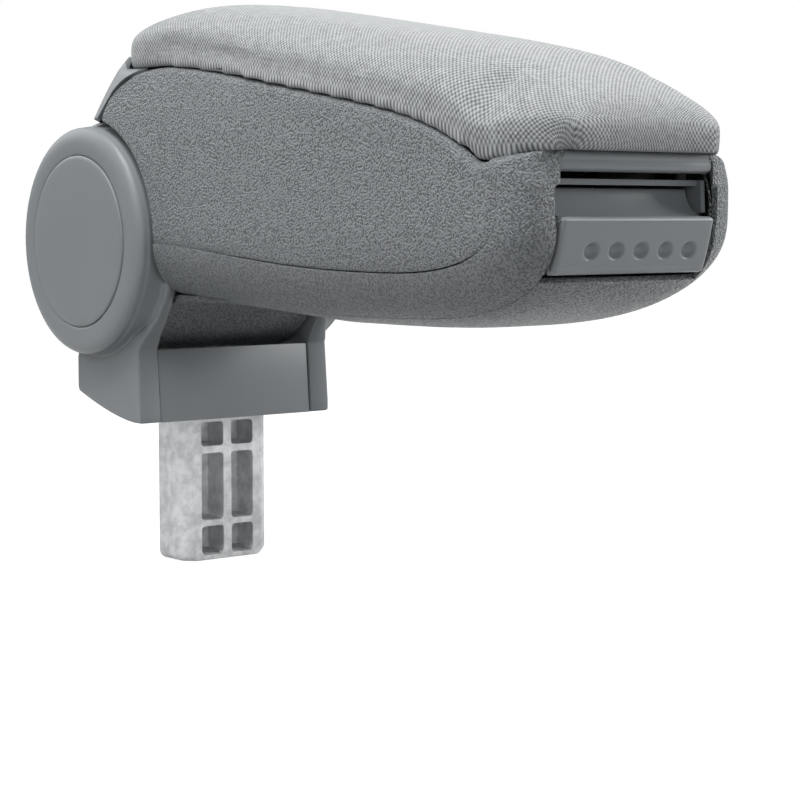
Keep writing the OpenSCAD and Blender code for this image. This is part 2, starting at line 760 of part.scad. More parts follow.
// The lid turns outside this barrel, whose radius grows towards its rear corners
sweep_gap = 0.4;
sweep_y = [for (k = [0:8]) -lid_rear - 20 * pow(k / 8, 1.5)];
function sweep_r(y) = norm([y + lid_pin_y, lid_pin_drop + lid_gap + lid_base_t]) - sweep_gap;
module inside_lid_sweep() {
    translate([0, -lid_pin_y, pin_z]) rotate([0, 90, 0]) rotate_extrude() polygon(concat(
        [[0, -lid_half(sweep_y[8])]],
        [for (k = [8:-1:0]) [sweep_r(sweep_y[k]), -lid_half(sweep_y[k])]],
        [for (k = [0:8]) [sweep_r(sweep_y[k]), lid_half(sweep_y[k])]],
        [[0, lid_half(sweep_y[8])]]));
}

// The lid's outline seen from above, grown by its running gap
module lid_plan(grow) {
    offset(delta = grow) polygon(concat(
        [for (y = sweep_y) [lid_half(y), y]],
        [[arm_half, -lid_rear - 30], [arm_half, -lid_rear - 60], [-arm_half, -lid_rear - 60],
            [-arm_half, -lid_rear - 30]],
        [for (k = [8:-1:0]) [-lid_half(sweep_y[k]), sweep_y[k]]]));
}

// The top of the cover, which stands up behind the lid
raised_front = 31;
raised_set = 0.03;
module raised_cover() {
    top = lid_z + cover_rise;
    low = lid_z - lip_r - 1;
    rows = [for (k = [0:4]) top + (low - top) * k / 4];
    difference() {
        intersection() {
            wall_between(
                [for (z = rows) plan_line(z, raised_set, 0)],
                [for (z = rows) plan_line(z, wall - raised_set, 0)]);
            inside_lid_sweep();
            translate([-far, -raised_front, 0]) cube(2 * far);
        }
        translate([0, 0, lid_z - 0.1]) linear_extrude(far) lid_plan(lid_gap);
        both_sides() across(-eps, far) polygon(panel_points(part_gap));
    }
}

module rear_cover() {
    deck = [for (q = plan_half(deck_z, wall / 3, 0)) [q[0], q[1]]];
    color([0.48, 0.5, 0.52]) difference() {
        union() {
            difference() {
                union() {
                    wall_between(cover_levels(0), cover_levels(wall));
                    translate([0, 0, deck_z - wall]) linear_extrude(wall) intersection() {
                        polygon(concat(deck, [for (k = [len(deck) - 1:-1:0]) [-deck[k][0], deck[k][1]]]));
                        translate([-far, -deck_split]) square([2 * far, far]);
                    }
                }
                both_sides() across(-eps, far) polygon(panel_points(part_gap));
                drum_clearance();
                // Room inside for the pin's ears
                bar(-ear_x[1] - 3, ear_x[1] + 3, -lid_pin_y, pin_z, hinge_ear_r + 0.2);
            }
            raised_cover();
            // Sector that follows the hub down behind the drum, with a lip at its foot
            across(-hub_face, hub_face) polygon(concat(
                arc(0, axis_z, arm_cut_r, rear_lean + 1, sector_low, 10),
                arc(0, axis_z, arm_cut_r, sector_low - 1, sector_lip, 2),
                arc(0, axis_z, hub_r + 0.3, sector_lip, sector_low, 2),
                arc(0, axis_z, arm_cut_r - wall, sector_low, rear_lean + 1, 10)));
            // Deck between the tray and the hinge, and its two pairs of ears
            translate([-deck_half, 0.4 - tray_back, deck_z - wall]) cube([2 * deck_half,
                tray_back - deck_split + 4, wall]);
            both_sides() for (x = ear_x) across(x - hinge_ear_t / 2, x + hinge_ear_t / 2) union() {
                translate([-lid_pin_y, pin_z]) circle(hinge_ear_r);
                polygon([[-lid_pin_y - hinge_ear_r, pin_z], [-lid_pin_y - 8, deck_z - 1],
                         [-lid_pin_y + hinge_ear_r, deck_z - 1], [-lid_pin_y + hinge_ear_r, pin_z]]);
            }
        }
        bar(-ear_x[1] - hinge_ear_t / 2, ear_x[1] + hinge_ear_t / 2, -lid_pin_y, pin_z, lid_pin_d / 2);
        // Slots that the lid's knuckles swing through
        both_sides() translate([knuckle_x[0] - 0.4, -lid_rear - 4, pin_z - hinge_ear_r - 0.6])
            cube([knuckle_x[1] - knuckle_x[0] + 0.8, far, far]);
    }
}

module lid_hinge_pin() {
    x = ear_x[1] + hinge_ear_t / 2;
    color([0.6, 0.6, 0.62]) bar(-x, x, -lid_pin_y, pin_z, lid_pin_d / 2);
}

// Storage tray
tray_half = 43;
tray_t = 2;
tray_floor = web_z + sheet_t + 0.2;
tray_setback = 38;
tray_front = arm_reach - tray_setback;
flange_drop = 0.3;
flange_t = 2;
tray_rows = 12;
function tray_line(drop, y0, y1) =
    [for (k = [0:tray_rows]) let (y = y0 + (y1 - y0) * k / tray_rows) [y, part_z(y) - drop]];

module storage_tray() {
    color([0.2, 0.2, 0.21]) union() {
        difference() {
            across(-tray_half, tray_half) polygon(concat(
                tray_line(flange_drop, -tray_back, -tray_front), [[-tray_front, tray_floor + 8],
                [-tray_front + 8, tray_floor], [-tray_back, tray_floor]]));
            across(tray_t - tray_half, tray_half - tray_t) polygon(concat(
                tray_line(-10, -tray_back - tray_t, -tray_front + tray_t),
                [[-tray_front + tray_t, tray_floor + 9], [-tray_front + 9, tray_floor + tray_t],
                 [-tray_back - tray_t, tray_floor + tray_t]]));
        }
        // Flange that fills the gap between the tray's mouth and the lips of the sides
        intersection() {
            both_sides() across(tray_half - eps, far) polygon(concat(
                tray_line(flange_drop, -tray_back, -tray_front),
                [for (k = [tray_rows:-1:0])
                    let (y = -tray_back + (tray_back - tray_front) * k / tray_rows)
                    [y, part_z(y) - flange_drop - flange_t]]));
            lip_plan(lip_r + 0.3);
        }
    }
}

// Plan outline of the arm at its lip, drawn in by a distance
module lip_plan(in) {
    pts = [for (y = skin_y) [skin_half(y, part_z(y) - lip_r, 0) - in, y]];
    translate([0, 0, -far]) linear_extrude(2 * far) polygon(concat(
        pts, [for (k = [len(pts) - 1:-1:0]) [-pts[k][0], pts[k][1]]]));
}

// Steel frame of the arm: cross tube for the axle and a channel under the tray
channel_end = arm_reach - 70;
channel_drop = 12;
bush_t = 2;
module arm_frame() {
    color([0.3, 0.31, 0.33]) difference() {
        union() {
            bar(-hub_face, hub_face, 0, axis_z, tube_d / 2);
            translate([-channel_w / 2, -channel_end, web_z]) cube([channel_w, channel_end, sheet_t]);
            both_sides() translate([channel_w / 2 - sheet_t, -channel_end, web_z - channel_drop + 6])
                cube([sheet_t, channel_end - hub_r - 8, channel_drop - 5]);
        }
        bar(-far, far, 0, axis_z, axle_d / 2 + bush_t);
        for (s = [-1, 1], y = belly_screw_y) translate([s * belly_screw_x, y, 0])
            cylinder(r = belly_screw_r + 0.1, h = far);
    }
}

module bush() {
    color([0.88, 0.87, 0.82]) difference() {
        bar(hub_face - 22, hub_face, 0, axis_z, axle_d / 2 + bush_t);
        bar(0, far, 0, axis_z, axle_d / 2 + run_gap);
    }
}

// Front frame: ledge and side walls of the mouth, holding the latch pin
wall_out = mouth_half - 0.8;
wall_in = wall_out - frame_t;
latch_setback = 15.5;
latch_y = latch_setback - arm_reach;
latch_z = 72;
ledge_front = latch_y - 4;
frame_back = tray_front + 0.4;
module front_frame() {
    back_y = -frame_back;
    color([0.4, 0.42, 0.44]) difference() {
        union() {
            translate([-wall_out, ledge_front, ledge_z - frame_t]) cube([2 * wall_out,
                back_y - ledge_front, frame_t]);
            translate([-wall_out, back_y - frame_t, belt_z - 28]) cube([2 * wall_out, frame_t,
                ledge_z - belt_z + 28]);
            both_sides() across(wall_in, wall_out) polygon([
                [back_y, belt_z - 28], [back_y, ledge_z], [ledge_front - 2, ledge_z],
                    [ledge_front - 2.6, pad_top_z + 1.6],
                [latch_y - 2.6, pad_top_z + 0.6], [latch_y - 2.6, latch_z - 3.4],
                    [latch_y + 6, latch_z - 5]]);
        }
        bar(-far, far, latch_y, latch_z, latch_pin_d / 2);
        translate([-hook_half - 1, latch_y - 0.6, ledge_z - 10]) cube([2 * hook_half + 2, 13.4, 20]);
    }
}

module latch_pin() {
    color([0.6, 0.6, 0.62]) bar(-wall_out, wall_out, latch_y, latch_z, latch_pin_d / 2);
}

// Latch handle: dimpled pad, finger scoop above it and the hook behind
handle_half = wall_in - 0.6;
pad_half = mouth_half - 1.6;
hook_half = 6;
barrel_r = 3.6;
scoop_r = 10.5;
pad_rows = 6;
function pad_front(z) =
    let (f = (z - pad_low_z) / (pad_top_z - pad_low_z))
    latch_y - 6 - 6.6 * pow(clamp(f, 0, 1), 0.6);

module latch_handle() {
    scoop_y = latch_y - 10;
    scoop_z = pad_top_z + scoop_r;
    top_z = ledge_z - frame_t - 0.6;
    color([0.47, 0.49, 0.51]) difference() {
        union() {
            // Pad with a rounded lip
            across(-pad_half, pad_half) polygon(concat(
                [for (k = [0:pad_rows])
                    let (z = pad_low_z + 0.6 + (pad_top_z - 2 - pad_low_z) * k / pad_rows) [pad_front(z), z]],
                arc(pad_front(pad_top_z) + 1.8, pad_top_z - 1.6, 1.6, 165, 90, 3),
                [[latch_y - 3.4, pad_top_z - 0.4], [latch_y - 3.4, pad_low_z],
                    [pad_front(pad_low_z) + 0.8, pad_low_z]]));
            // Scoop and its back
            across(-handle_half, handle_half) polygon(concat(
                [for (k = [0:8]) let (a = -98 + 95 * k / 8)
                    [scoop_y + scoop_r * cos(a), scoop_z + scoop_r * sin(a)]],
                [[scoop_y + scoop_r, top_z], [scoop_y + scoop_r + 2.4, top_z],
                 [scoop_y + scoop_r + 2.4, scoop_z - 8], [latch_y + 1.6, latch_z + 3],
                 [latch_y, pad_low_z + 0.4], [latch_y - 4, pad_low_z + 0.4]]));
            bar(-handle_half, handle_half, latch_y, latch_z, barrel_r);
            // Hook that reaches up through the ledge
            across(-hook_half, hook_half) polygon([
                [scoop_y + scoop_r + 1, scoop_z - 10], [scoop_y + scoop_r + 3.8, scoop_z - 9],
                [scoop_y + scoop_r + 5.4, top_z - 2], [scoop_y + scoop_r + 5.4, ledge_z + 2.8],
                [scoop_y + scoop_r + 7.2, ledge_z + 2.8], [scoop_y + scoop_r + 5.8, ledge_z + 4.4],
                [scoop_y + scoop_r + 3.6, ledge_z + 4.4], [scoop_y + scoop_r + 3.6, top_z - 1],
                [scoop_y + scoop_r + 1, top_z - 1]]);
        }
        bar(-far, far, latch_y, latch_z, latch_pin_d / 2 + run_gap);
        // Window for the coil spring on the pin
        for (s = [1]) translate([spring_x - 0.6, latch_y - 2.6, latch_z - far / 2])
            cube([spring_w + 1.2, far, far / 2 + 2.6]);
        for (k = [0:dimple_count - 1])
            let (x = dimple_shift + (k - (dimple_count - 1) / 2) * dimple_pitch,
                z = (pad_low_z + pad_top_z) / 2)
            translate([x, pad_front(z) - dimple_ball_r + dimple_deep, z]) sphere(r = dimple_ball_r,
                $fn = 24);
    }
}

// Coil spring that closes the latch
spring_x = 14;
spring_w = 8;
spring_wire = 0.5;
coil_count = 5;
module latch_spring() {
    color([0.65, 0.65, 0.66]) for (k = [0:coil_count - 1])
        translate([spring_x + 1 + (spring_w - 2) * k / (coil_count - 1), latch_y, latch_z]) rotate([0,
            90, 0])
            rotate_extrude($fn = 24) translate([latch_pin_d / 2 + 0.02 + spring_wire,
                0]) circle(spring_wire, $fn = 16);
}

// Rubber stops under the grip strip
stop_r = 2.6;
stop_x = 31;
module lid_stops() {
    color([0.12, 0.12, 0.12]) for (s = [-1, 1]) translate([s * stop_x, ledge_front + 3.4, ledge_z])
        cylinder(r1 = stop_r, r2 = stop_r - 0.5, h = strip_low - ledge_z - 0.3);
}

// Lid
lid_inset = 2;
lid_nose = arm_reach - 1.4;
crown_front = 84;
crown_rear = 76;
crown_rear_run = 60;
lid_rows = 26;
lid_ease = 0.62;
function lid_station(u) = (1 - lid_ease) * u + lid_ease * (1 - cos(180 * u)) / 2;
lid_y = [for (i = [0:lid_rows]) -lid_rear - (lid_nose - lid_rear) * lid_station(i / lid_rows)];
function crown(y) =
    let (f = pow(deep(-y - (arm_reach - crown_front), crown_front - 1, 3), 1.35))
    let (rear = sqrt(1 - pow(clamp((y + crown_rear) / crown_rear_run, 0, 1), 2.5)))
    let (base = part_z(y) + lid_gap + lid_base_t)
    pad_band + (part_line(y) + crown_h - base - pad_band) * f * rear;

base_y = concat([-lid_rear - lid_inset], [for (y = lid_y) if (y < -lid_rear - lid_inset - 1) y]);
module lid_base() {
    color([0.22, 0.22, 0.23]) difference() {
        union() {
            intersection() {
                across(-arm_half, arm_half) lid_band(lid_gap, lid_gap + lid_base_t);
                translate([0, 0, -far]) linear_extrude(2 * far) polygon(concat(
                    [for (y = base_y) [lid_half(y) - lid_inset, y]],
                    [for (k = [len(base_y) - 1:-1:0]) [lid_inset - lid_half(base_y[k]), base_y[k]]]));
            }
            // Locating rib that drops into the tray's mouth
            intersection() {
                across(-arm_half, arm_half) lid_band(-2.4, lid_gap + 0.1);
                difference() {
                    rib_box(tray_half - tray_t - 1.2);
                    rib_box(tray_half - tray_t - 3);
                }
            }
            both_sides() hinge_knuckle();
        }
        bar(-far, far, -lid_pin_y, pin_z, lid_pin_d / 2 + run_gap);
        // Slot that the striker is pressed into, and the holes of the screws
        translate([-hook_half - run_gap, striker_y - striker_t - run_gap, 0])
            cube([2 * (hook_half + run_gap), striker_t + 2 * run_gap, far]);
        for (s = [-1, 1], y = lid_screw_y) translate([s * lid_screw_x, y,
            0]) cylinder(r = lid_screw_r + 0.1, h = far);
    }
}

// Steel striker that the hook holds, set upright in the lid base
striker_y = latch_y + 12.4;
striker_t = 1.8;
striker_lip = 1.2;
module lid_striker() {
    low = ledge_z + 1.4;
    top = part_z(striker_y) + lid_gap + lid_base_t - 0.3;
    color([0.6, 0.6, 0.62]) across(-hook_half, hook_half) polygon([
        [striker_y, top], [striker_y, low], [striker_y - striker_t - striker_lip, low],
        [striker_y - striker_t - striker_lip, low + 1.2], [striker_y - striker_t, low + 2.2],
            [striker_y - striker_t, top]]);
}

module lid_band(low, high) {
    polygon(concat(
        [for (y = lid_y) [y, part_z(y) + low]],
        [for (k = [len(lid_y) - 1:-1:0]) [lid_y[k], part_z(lid_y[k]) + high]]));
}

module rib_box(half) {
    d = tray_half - tray_t - half;
    translate([-half, -tray_front + tray_t + d, -far])
        cube([2 * half, tray_front - tray_back - 2 * (tray_t + d), 2 * far]);
}

module hinge_knuckle() {
    bar(knuckle_x[0], knuckle_x[1], -lid_pin_y, pin_z, hinge_ear_r - 0.5);
    across(knuckle_x[0], knuckle_x[1]) polygon([
        [-lid_pin_y - 1.5, pin_z - hinge_ear_r + 1], [-lid_rear - 9, lid_z + lid_gap + 0.5],
        [-lid_rear - 9, lid_z + lid_gap + 1.5], [-lid_rear - lid_inset, lid_z + lid_gap + 1.5],
        [-lid_pin_y - 1, pin_z + hinge_ear_r - 0.7]]);
}

cushion_rows = 14;
side_power = 2.4;
module lid_cushion() {
    gap = 0.05;
    function row(y, top) =
        let (w = lid_half(y), base = part_z(y) + lid_gap + lid_base_t + gap, h = crown(y))
        [for (k = [0:cushion_rows])
            let (a = 180 * k / cushion_rows)
            let (x = w * sign(cos(a)) * pow(abs(cos(a)), 2 / side_power))
            [x, y, top ? base + pad_band - 0.5 + (h - pad_band + 0.5) * pow(sin(a), 0.85) : base]];
    color([0.66, 0.68, 0.69])
        wall_between([for (y = lid_y) row(y, true)], [for (y = lid_y) row(y, false)]);
}

// Grip strip under the front of the pad
strip_low = 104.2;
strip_front = arm_reach - nose_setback;
strip_run = 9;
module grip_strip() {
    x = mouth_half - 1;
    y0 = strip_run - strip_front;
    y1 = -strip_front;
    top0 = part_z(y0) + lid_gap - 0.05;
    top1 = part_z(y1 + 1) + lid_gap - 0.05;
    color([0.47, 0.49, 0.51]) across(-x, x) polygon(concat(
        [[y0, top0], [y1 + 1, top1]],
        arc(y1 + 1.6, strip_low + strip_h - 1.6, 1.6, 110, 180, 3),
        arc(y1 + 2, strip_low + 2, 2, 180, 270, 4),
        [[y0, strip_low]]));
}

// Screws that hold the pad's board and the grip strip to the lid base
lid_screw_y = [-80, 59 - arm_reach];
lid_screw_x = 30;
lid_screw_r = 1.4;
lid_screw_head_r = 3;
lid_screw_head_h = 1.2;
module lid_screws() {
    color([0.3, 0.3, 0.32]) for (s = [-1, 1], y = lid_screw_y)
        let (under = min(part_z(y - lid_screw_head_r), part_z(y + lid_screw_head_r)) + lid_gap - 0.15)
        translate([s * lid_screw_x, y, under - lid_screw_head_h]) {
            cylinder(r = lid_screw_head_r, h = lid_screw_head_h);
            cylinder(r = lid_screw_r, h = lid_screw_head_h + lid_base_t - 0.2);
        }
}

tongue();
tongue_bolts();
post_bracket();
post_cover();
mirror([1, 0, 0]) cheek();  // cheek_left
cheek();  // cheek_right
mirror([1, 0, 0]) cap();  // cap_left
cap();  // cap_right
axle_bolt();
axle_nut();
mirror([1, 0, 0]) thrust_washer();  // thrust_washer_left
thrust_washer();  // thrust_washer_right
friction_spring();
cheek_screws();
belly_shell();
mirror([1, 0, 0]) side_shell_right();  // side_shell_left
side_shell_right();
mirror([1, 0, 0]) side_panel_right();  // side_panel_left
side_panel_right();
rear_cover();
storage_tray();
arm_frame();
mirror([1, 0, 0]) bush();  // bush_left
bush();  // bush_right
belly_screws();
lid_hinge_pin();
front_frame();
latch_pin();
latch_spring();
lid_stops();
lid_base();
lid_striker();
lid_cushion();
grip_strip();
lid_screws();
latch_handle();
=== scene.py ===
"""Dresses the folding car centre armrest: grained and smooth mouldings, cast tongue and woven pad.

Sizes are in millimetres in the frame's axes: X to the right, -Y to the front of the car, Z up.
"""

import json
import logging
import math
from dataclasses import dataclass, field
from enum import Enum
from typing import Callable, Iterable, Optional, Sequence, Union

import bpy
import numpy as np
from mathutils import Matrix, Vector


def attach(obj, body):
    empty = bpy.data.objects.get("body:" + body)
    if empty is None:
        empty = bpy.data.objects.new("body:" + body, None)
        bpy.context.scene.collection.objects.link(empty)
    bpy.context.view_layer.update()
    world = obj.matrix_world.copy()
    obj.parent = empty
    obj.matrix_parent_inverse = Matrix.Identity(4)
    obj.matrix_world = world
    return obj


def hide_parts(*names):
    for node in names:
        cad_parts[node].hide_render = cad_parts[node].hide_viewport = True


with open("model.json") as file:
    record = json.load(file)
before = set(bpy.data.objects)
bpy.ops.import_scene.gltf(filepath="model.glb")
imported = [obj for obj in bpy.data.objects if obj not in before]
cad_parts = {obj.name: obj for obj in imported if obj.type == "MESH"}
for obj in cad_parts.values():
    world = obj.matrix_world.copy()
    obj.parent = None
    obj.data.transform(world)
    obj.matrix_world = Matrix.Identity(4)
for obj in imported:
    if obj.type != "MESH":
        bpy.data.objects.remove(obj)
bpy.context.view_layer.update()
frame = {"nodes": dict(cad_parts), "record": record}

LOG = logging.getLogger("armrest")
MM = 0.001
HALVINGS = 40
Array = np.ndarray
Colour = tuple[float, float, float, float]


class Body(Enum):
    """The moving groups that a piece can ride on."""

    POST = "post"
    ARM = "arm"
    LID = "lid"
    LATCH = "latch"


class Slot(Enum):
    """The record's material slots, each with a finish of the same name."""

    SMOOTH = "smooth_plastic"
    GRAINED = "grained_plastic"
    FABRIC = "cushion_fabric"
    CAST = "cast_metal"
    STEEL = "steel"
    DARK_STEEL = "dark_steel"
    DARK = "dark_plastic"
    BEARING = "bearing_plastic"
    RUBBER = "stop_rubber"


# Shader maths


class Sock:
    """A shader value: adding, scaling or comparing it adds Math nodes."""

    def __init__(self, board: "Board", socket: object) -> None:
        """Keeps the board that the socket's node lies on."""
        self.board = board
        self.socket = socket

    def _math(self, operation: str, *others: object) -> "Sock":
        """One Math node on this value and the others."""
        return self.board.node("ShaderNodeMath", {"operation": operation}, [self, *others])

    def __add__(self, other: object) -> "Sock":
        """Sum."""
        return self._math("ADD", other)

    def __sub__(self, other: object) -> "Sock":
        """Difference."""
        return self._math("SUBTRACT", other)

    def __rsub__(self, other: object) -> "Sock":
        """Reflected difference."""
        return self.board.node("ShaderNodeMath", {"operation": "SUBTRACT"}, [other, self])

    def __mul__(self, other: object) -> "Sock":
        """Product."""
        return self._math("MULTIPLY", other)

    __radd__ = __add__
    __rmul__ = __mul__

    def sin(self) -> "Sock":
        """Sine."""
        return self._math("SINE")

    def step(self, low: float, high: float) -> "Sock":
        """Smooth step from 0 at low to 1 at high."""
        settings = {"interpolation_type": "SMOOTHSTEP"}
        inputs = {"Value": self, "From Min": low, "From Max": high}
        return self.board.node("ShaderNodeMapRange", settings, inputs)


class Board:
    """The node tree of one material or of the world."""

    def __init__(self, owner: Union[bpy.types.Material, bpy.types.World]) -> None:
        """Empties the owner's tree and gives it its output."""
        owner.use_nodes = True
        self.owner = owner
        self.tree = owner.node_tree
        self.tree.nodes.clear()
        kind = "World" if isinstance(owner, bpy.types.World) else "Material"
        self.output = self.tree.nodes.new(f"ShaderNodeOutput{kind}")

    def node(self, kind: str, settings: dict, inputs: Union[list, dict], output: Union[int, str] = 0) -> Sock:
        """Adds a node.

        Args:
            kind: the node's type.
            settings: its own settings, set before its sockets.
            inputs: values or links, as a list in order or a dict by socket name or number.
            output: name or number of the output wanted.

        Returns:
            The wanted output.
        """
        made = self.tree.nodes.new(kind)
        for key, value in settings.items():
            setattr(made, key, value)
        pairs = inputs.items() if isinstance(inputs, dict) else enumerate(inputs)
        for key, value in pairs:
            if isinstance(value, Sock):
                self.tree.links.new(value.socket, made.inputs[key])
            else:
                made.inputs[key].default_value = value
        return Sock(self, made.outputs[output])

    def place(self) -> Sock:
        """Object coordinates, in metres in the frame's axes."""
        return self.node("ShaderNodeTexCoord", {}, {}, "Object")

    def ray(self, kind: str) -> Sock:
        """One of the Light Path tests, 1 for rays of that kind."""
        return self.node("ShaderNodeLightPath", {}, {}, kind)

    def parts(self, vector: Sock) -> tuple[Sock, Sock, Sock]:
        """The three numbers of a vector."""
        first = self.node("ShaderNodeSeparateXYZ", {}, [vector])
        outputs = first.socket.node.outputs
        return first, Sock(self, outputs[1]), Sock(self, outputs[2])

    def noise(self, vector: Sock, pitch_mm: float, detail: float = 2.0, rough: float = 0.5) -> Sock:
        """Noise.

        Args:
            vector: where it is read.
            pitch_mm: about how wide its blobs are.
            detail: how many finer layers it has.
            rough: how strong those are.

        Returns:
            Its value, 0 to 1.
        """
        inputs = {"Vector": vector, "Scale": 1.0 / (pitch_mm * MM), "Detail": detail, "Roughness": rough}
        return self.node("ShaderNodeTexNoise", {}, inputs)

    def stretch(self, vector: Sock, scale: Sequence[float]) -> Sock:
        """Scales a vector's three numbers."""
        return self.node("ShaderNodeVectorMath", {"operation": "MULTIPLY"}, [vector, tuple(scale)])

    def blend(self, share: Sock, first: Union[Colour, Sock], second: Union[Colour, Sock]) -> Sock:
        """Mixes two colours; sockets 0, 6 and 7 are the Mix node's share and colours."""
        return self.node("ShaderNodeMix", {"data_type": "RGBA"}, {0: share, 6: first, 7: second}, 2)

    def bump(self, height: Sock, depth_mm: float, strength: float = 1.0) -> Sock:
        """Bump from a height of 0 to 1 that stands for depth_mm."""
        inputs = {"Height": height, "Distance": depth_mm * MM, "Strength": strength}
        return self.node("ShaderNodeBump", {}, inputs)

    def surface(self, shader: Sock) -> None:
        """Shows a shader on the owner's surface."""
        self.tree.links.new(shader.socket, self.output.inputs["Surface"])

    def finish(self, inputs: dict) -> bpy.types.Material:
        """Ends the tree in one Principled shader with these sockets."""
        self.surface(self.node("ShaderNodeBsdfPrincipled", {}, inputs))
        return self.owner


def grey(red: float, green: float, blue: float) -> Colour:
    """A colour with full alpha."""
    return (red, green, blue, 1.0)


def scaled(colour: Sequence[float], factor: float) -> Colour:
    """The colour made lighter or darker."""
    return grey(*(min(1.0, c * factor) for c in colour[:3]))


# Finishes


@dataclass(frozen=True)
class SmoothPlastic:
    """Satin moulded plastic with a faint waviness and a little soiling."""

    name: str = Slot.SMOOTH.value
    colour: Colour = grey(0.215, 0.232, 0.243)
    tints: tuple = (0.965, 1.035)
    cloud_mm: float = 26
    spark_mm: float = 0.32
    depth_mm: float = 0.006
    rough: float = 0.42
    uneven: float = 0.06

    def build(self) -> bpy.types.Material:
        """Makes the material: a soft cloud tints it, a fine spark roughens it."""
        b = Board(bpy.data.materials.new(self.name))
        at = b.place()
        cloud = b.noise(at, self.cloud_mm, 3)
        spark = b.noise(at, self.spark_mm, 2, 0.6)
        colour = b.blend(cloud, *(scaled(self.colour, tint) for tint in self.tints))
        rough = self.rough + (cloud - 0.5) * self.uneven + (spark - 0.5) * 0.05
        normal = b.bump(spark, self.depth_mm, 0.7)
        return b.finish({"Base Color": colour, "Roughness": rough, "Normal": normal, "IOR": 1.47})


@dataclass(frozen=True)
class GrainedPlastic:
    """Pebble-grained moulded plastic: rounded grains with narrow, duller hollows and smoother crests; the
    crests carry a painted highlight and the hollows painted shade.
    """

    name: str = Slot.GRAINED.value
    colour: Colour = grey(0.222, 0.24, 0.25)
    # Factors on the colour: painted highlight on the grain crests (mixed by a soft cloud) and painted shade
    # in the hollows.
    painted_highlight_tops: tuple = (1.08, 1.17)
    painted_shade_valleys: float = 0.58
    grain_mm: float = 0.85
    cloud_mm: float = 22
    depth_mm: float = 0.75
    rough: float = 0.34

    def build(self) -> bpy.types.Material:
        """Makes the material: one noise gives the grains, a painted highlight on their crests and painted
        shade in their darker, duller hollows.
        """
        b = Board(bpy.data.materials.new(self.name))
        at = b.place()
        grains = b.noise(at, self.grain_mm, 1, 0.5)
        fine = b.noise(at, self.grain_mm * 0.4, 2, 0.6)
        cloud = b.noise(at, self.cloud_mm, 3)
        height = grains.step(0.34, 0.66) * 0.8 + fine * 0.45
        # Painted light: the grain crests get a lighter colour as a painted highlight and the hollows a darker
        # one as painted shade; the hollows are also really rougher.
        valley = 1.0 - grains.step(0.36, 0.56)
        top = b.blend(cloud, *(scaled(self.colour, tint) for tint in self.painted_highlight_tops))
        colour = b.blend(valley, top, scaled(self.colour, self.painted_shade_valleys))
        rough = self.rough + valley * 0.25 + (cloud - 0.5) * 0.06
        normal = b.bump(height, self.depth_mm, 1.0)
        return b.finish({"Base Color": colour, "Roughness": rough, "Normal": normal, "IOR": 1.5})


@dataclass(frozen=True)
class WovenFabric:
    """Fine woven cloth on the piece's own weave coordinates: crossing threads with a heather of tones, and
    painted light and shade on the raised knots and the dips between them.
    """

    name: str = Slot.FABRIC.value
    colour: Colour = grey(0.31, 0.322, 0.328)
    # Tints for the painted light and shade on the knots together with the threads' real heather.
    knot_shading_and_heather_tints: tuple = (0.4, 1.45)
    thread_mm: float = 0.95
    along: tuple = (0.15, 1.1, 1.0)
    across: tuple = (1.1, 0.15, 1.0)
    depth_mm: float = 0.22

    def build(self) -> bpy.types.Material:
        """Makes the material: the product of two sines gives the knots, which also lighten the colour on
        their crests as painted highlight and darken it in the dips as painted shade; stretched noise gives
        the threads.
        """
        b = Board(bpy.data.materials.new(self.name))
        at = b.node("ShaderNodeUVMap", {"uv_map": "weave"}, {}, "UV")
        u, v, _ = b.parts(at)
        turn = math.pi / self.thread_mm
        height = (u * turn).sin() * (v * turn).sin() * 0.5 + 0.5
        warp = b.noise(b.stretch(at, self.along), 1.0 / MM, 2)
        weft = b.noise(b.stretch(at, self.across), 1.0 / MM, 2)
        heather = (warp - 0.5) * 0.5 + (weft - 0.5) * 0.5
        # Painted light: the knots' height lightens their crests and darkens the dips between them, mixed with
        # the threads' real heather.
        shade = height * 0.75 + heather + 0.1
        colour = b.blend(shade.step(0.05, 0.85), *(scaled(self.colour, tint) for tint in self.knot_shading_and_heather_tints))
        return b.finish({
            "Base Color": colour,
            "Roughness": 0.86 + heather * 0.1,
            "Normal": b.bump(height + heather * 0.35, self.depth_mm, 0.9),
            "Sheen Weight": 0.25,
            "Sheen Roughness": 0.5,
            "Specular IOR Level": 0.25,
        })


@dataclass(frozen=True)
class CastMetal:
    """Raw cast light metal: grainy skin, with cutter marks where a side was milled."""

    name: str = Slot.CAST.value
    colour: Colour = grey(0.62, 0.63, 0.635)
    milled_x: float = -0.0205
    milled_y: float = -0.0195
    grain_mm: float = 0.7
    blot_mm: float = 5
    mark_mm: float = 0.5
    depth_mm: float = 0.12

    def build(self) -> bpy.types.Material:
        """Makes the material: grain and blots all over, marks drawn out along Y on the milled side."""
        b = Board(bpy.data.materials.new(self.name))
        at = b.place()
        x, y, _ = b.parts(at)
        grain = b.noise(at, self.grain_mm, 3, 0.65)
        blot = b.noise(at, self.blot_mm, 4, 0.6)
        mark = b.noise(b.stretch(at, (1.0, 0.12, 1.0)), self.mark_mm, 2, 0.5)
        beside = 1.0 - (x - self.milled_x).step(-0.0006, 0.0006)
        ahead = 1.0 - (y - self.milled_y).step(-0.001, 0.001)
        milled = beside * ahead
        tone = b.blend(blot.step(0.3, 0.7), scaled(self.colour, 0.78), scaled(self.colour, 1.12))
        colour = b.blend(grain.step(0.55, 0.8) * 0.35, tone, scaled(self.colour, 0.6))
        height = grain * (1.0 - milled * 0.8) + mark * milled * 1.6
        rough = 0.5 + (blot - 0.5) * 0.25 - milled * 0.1
        normal = b.bump(height, self.depth_mm, 0.8)
        return b.finish({"Base Color": colour, "Metallic": 0.75, "Roughness": rough, "Normal": normal})


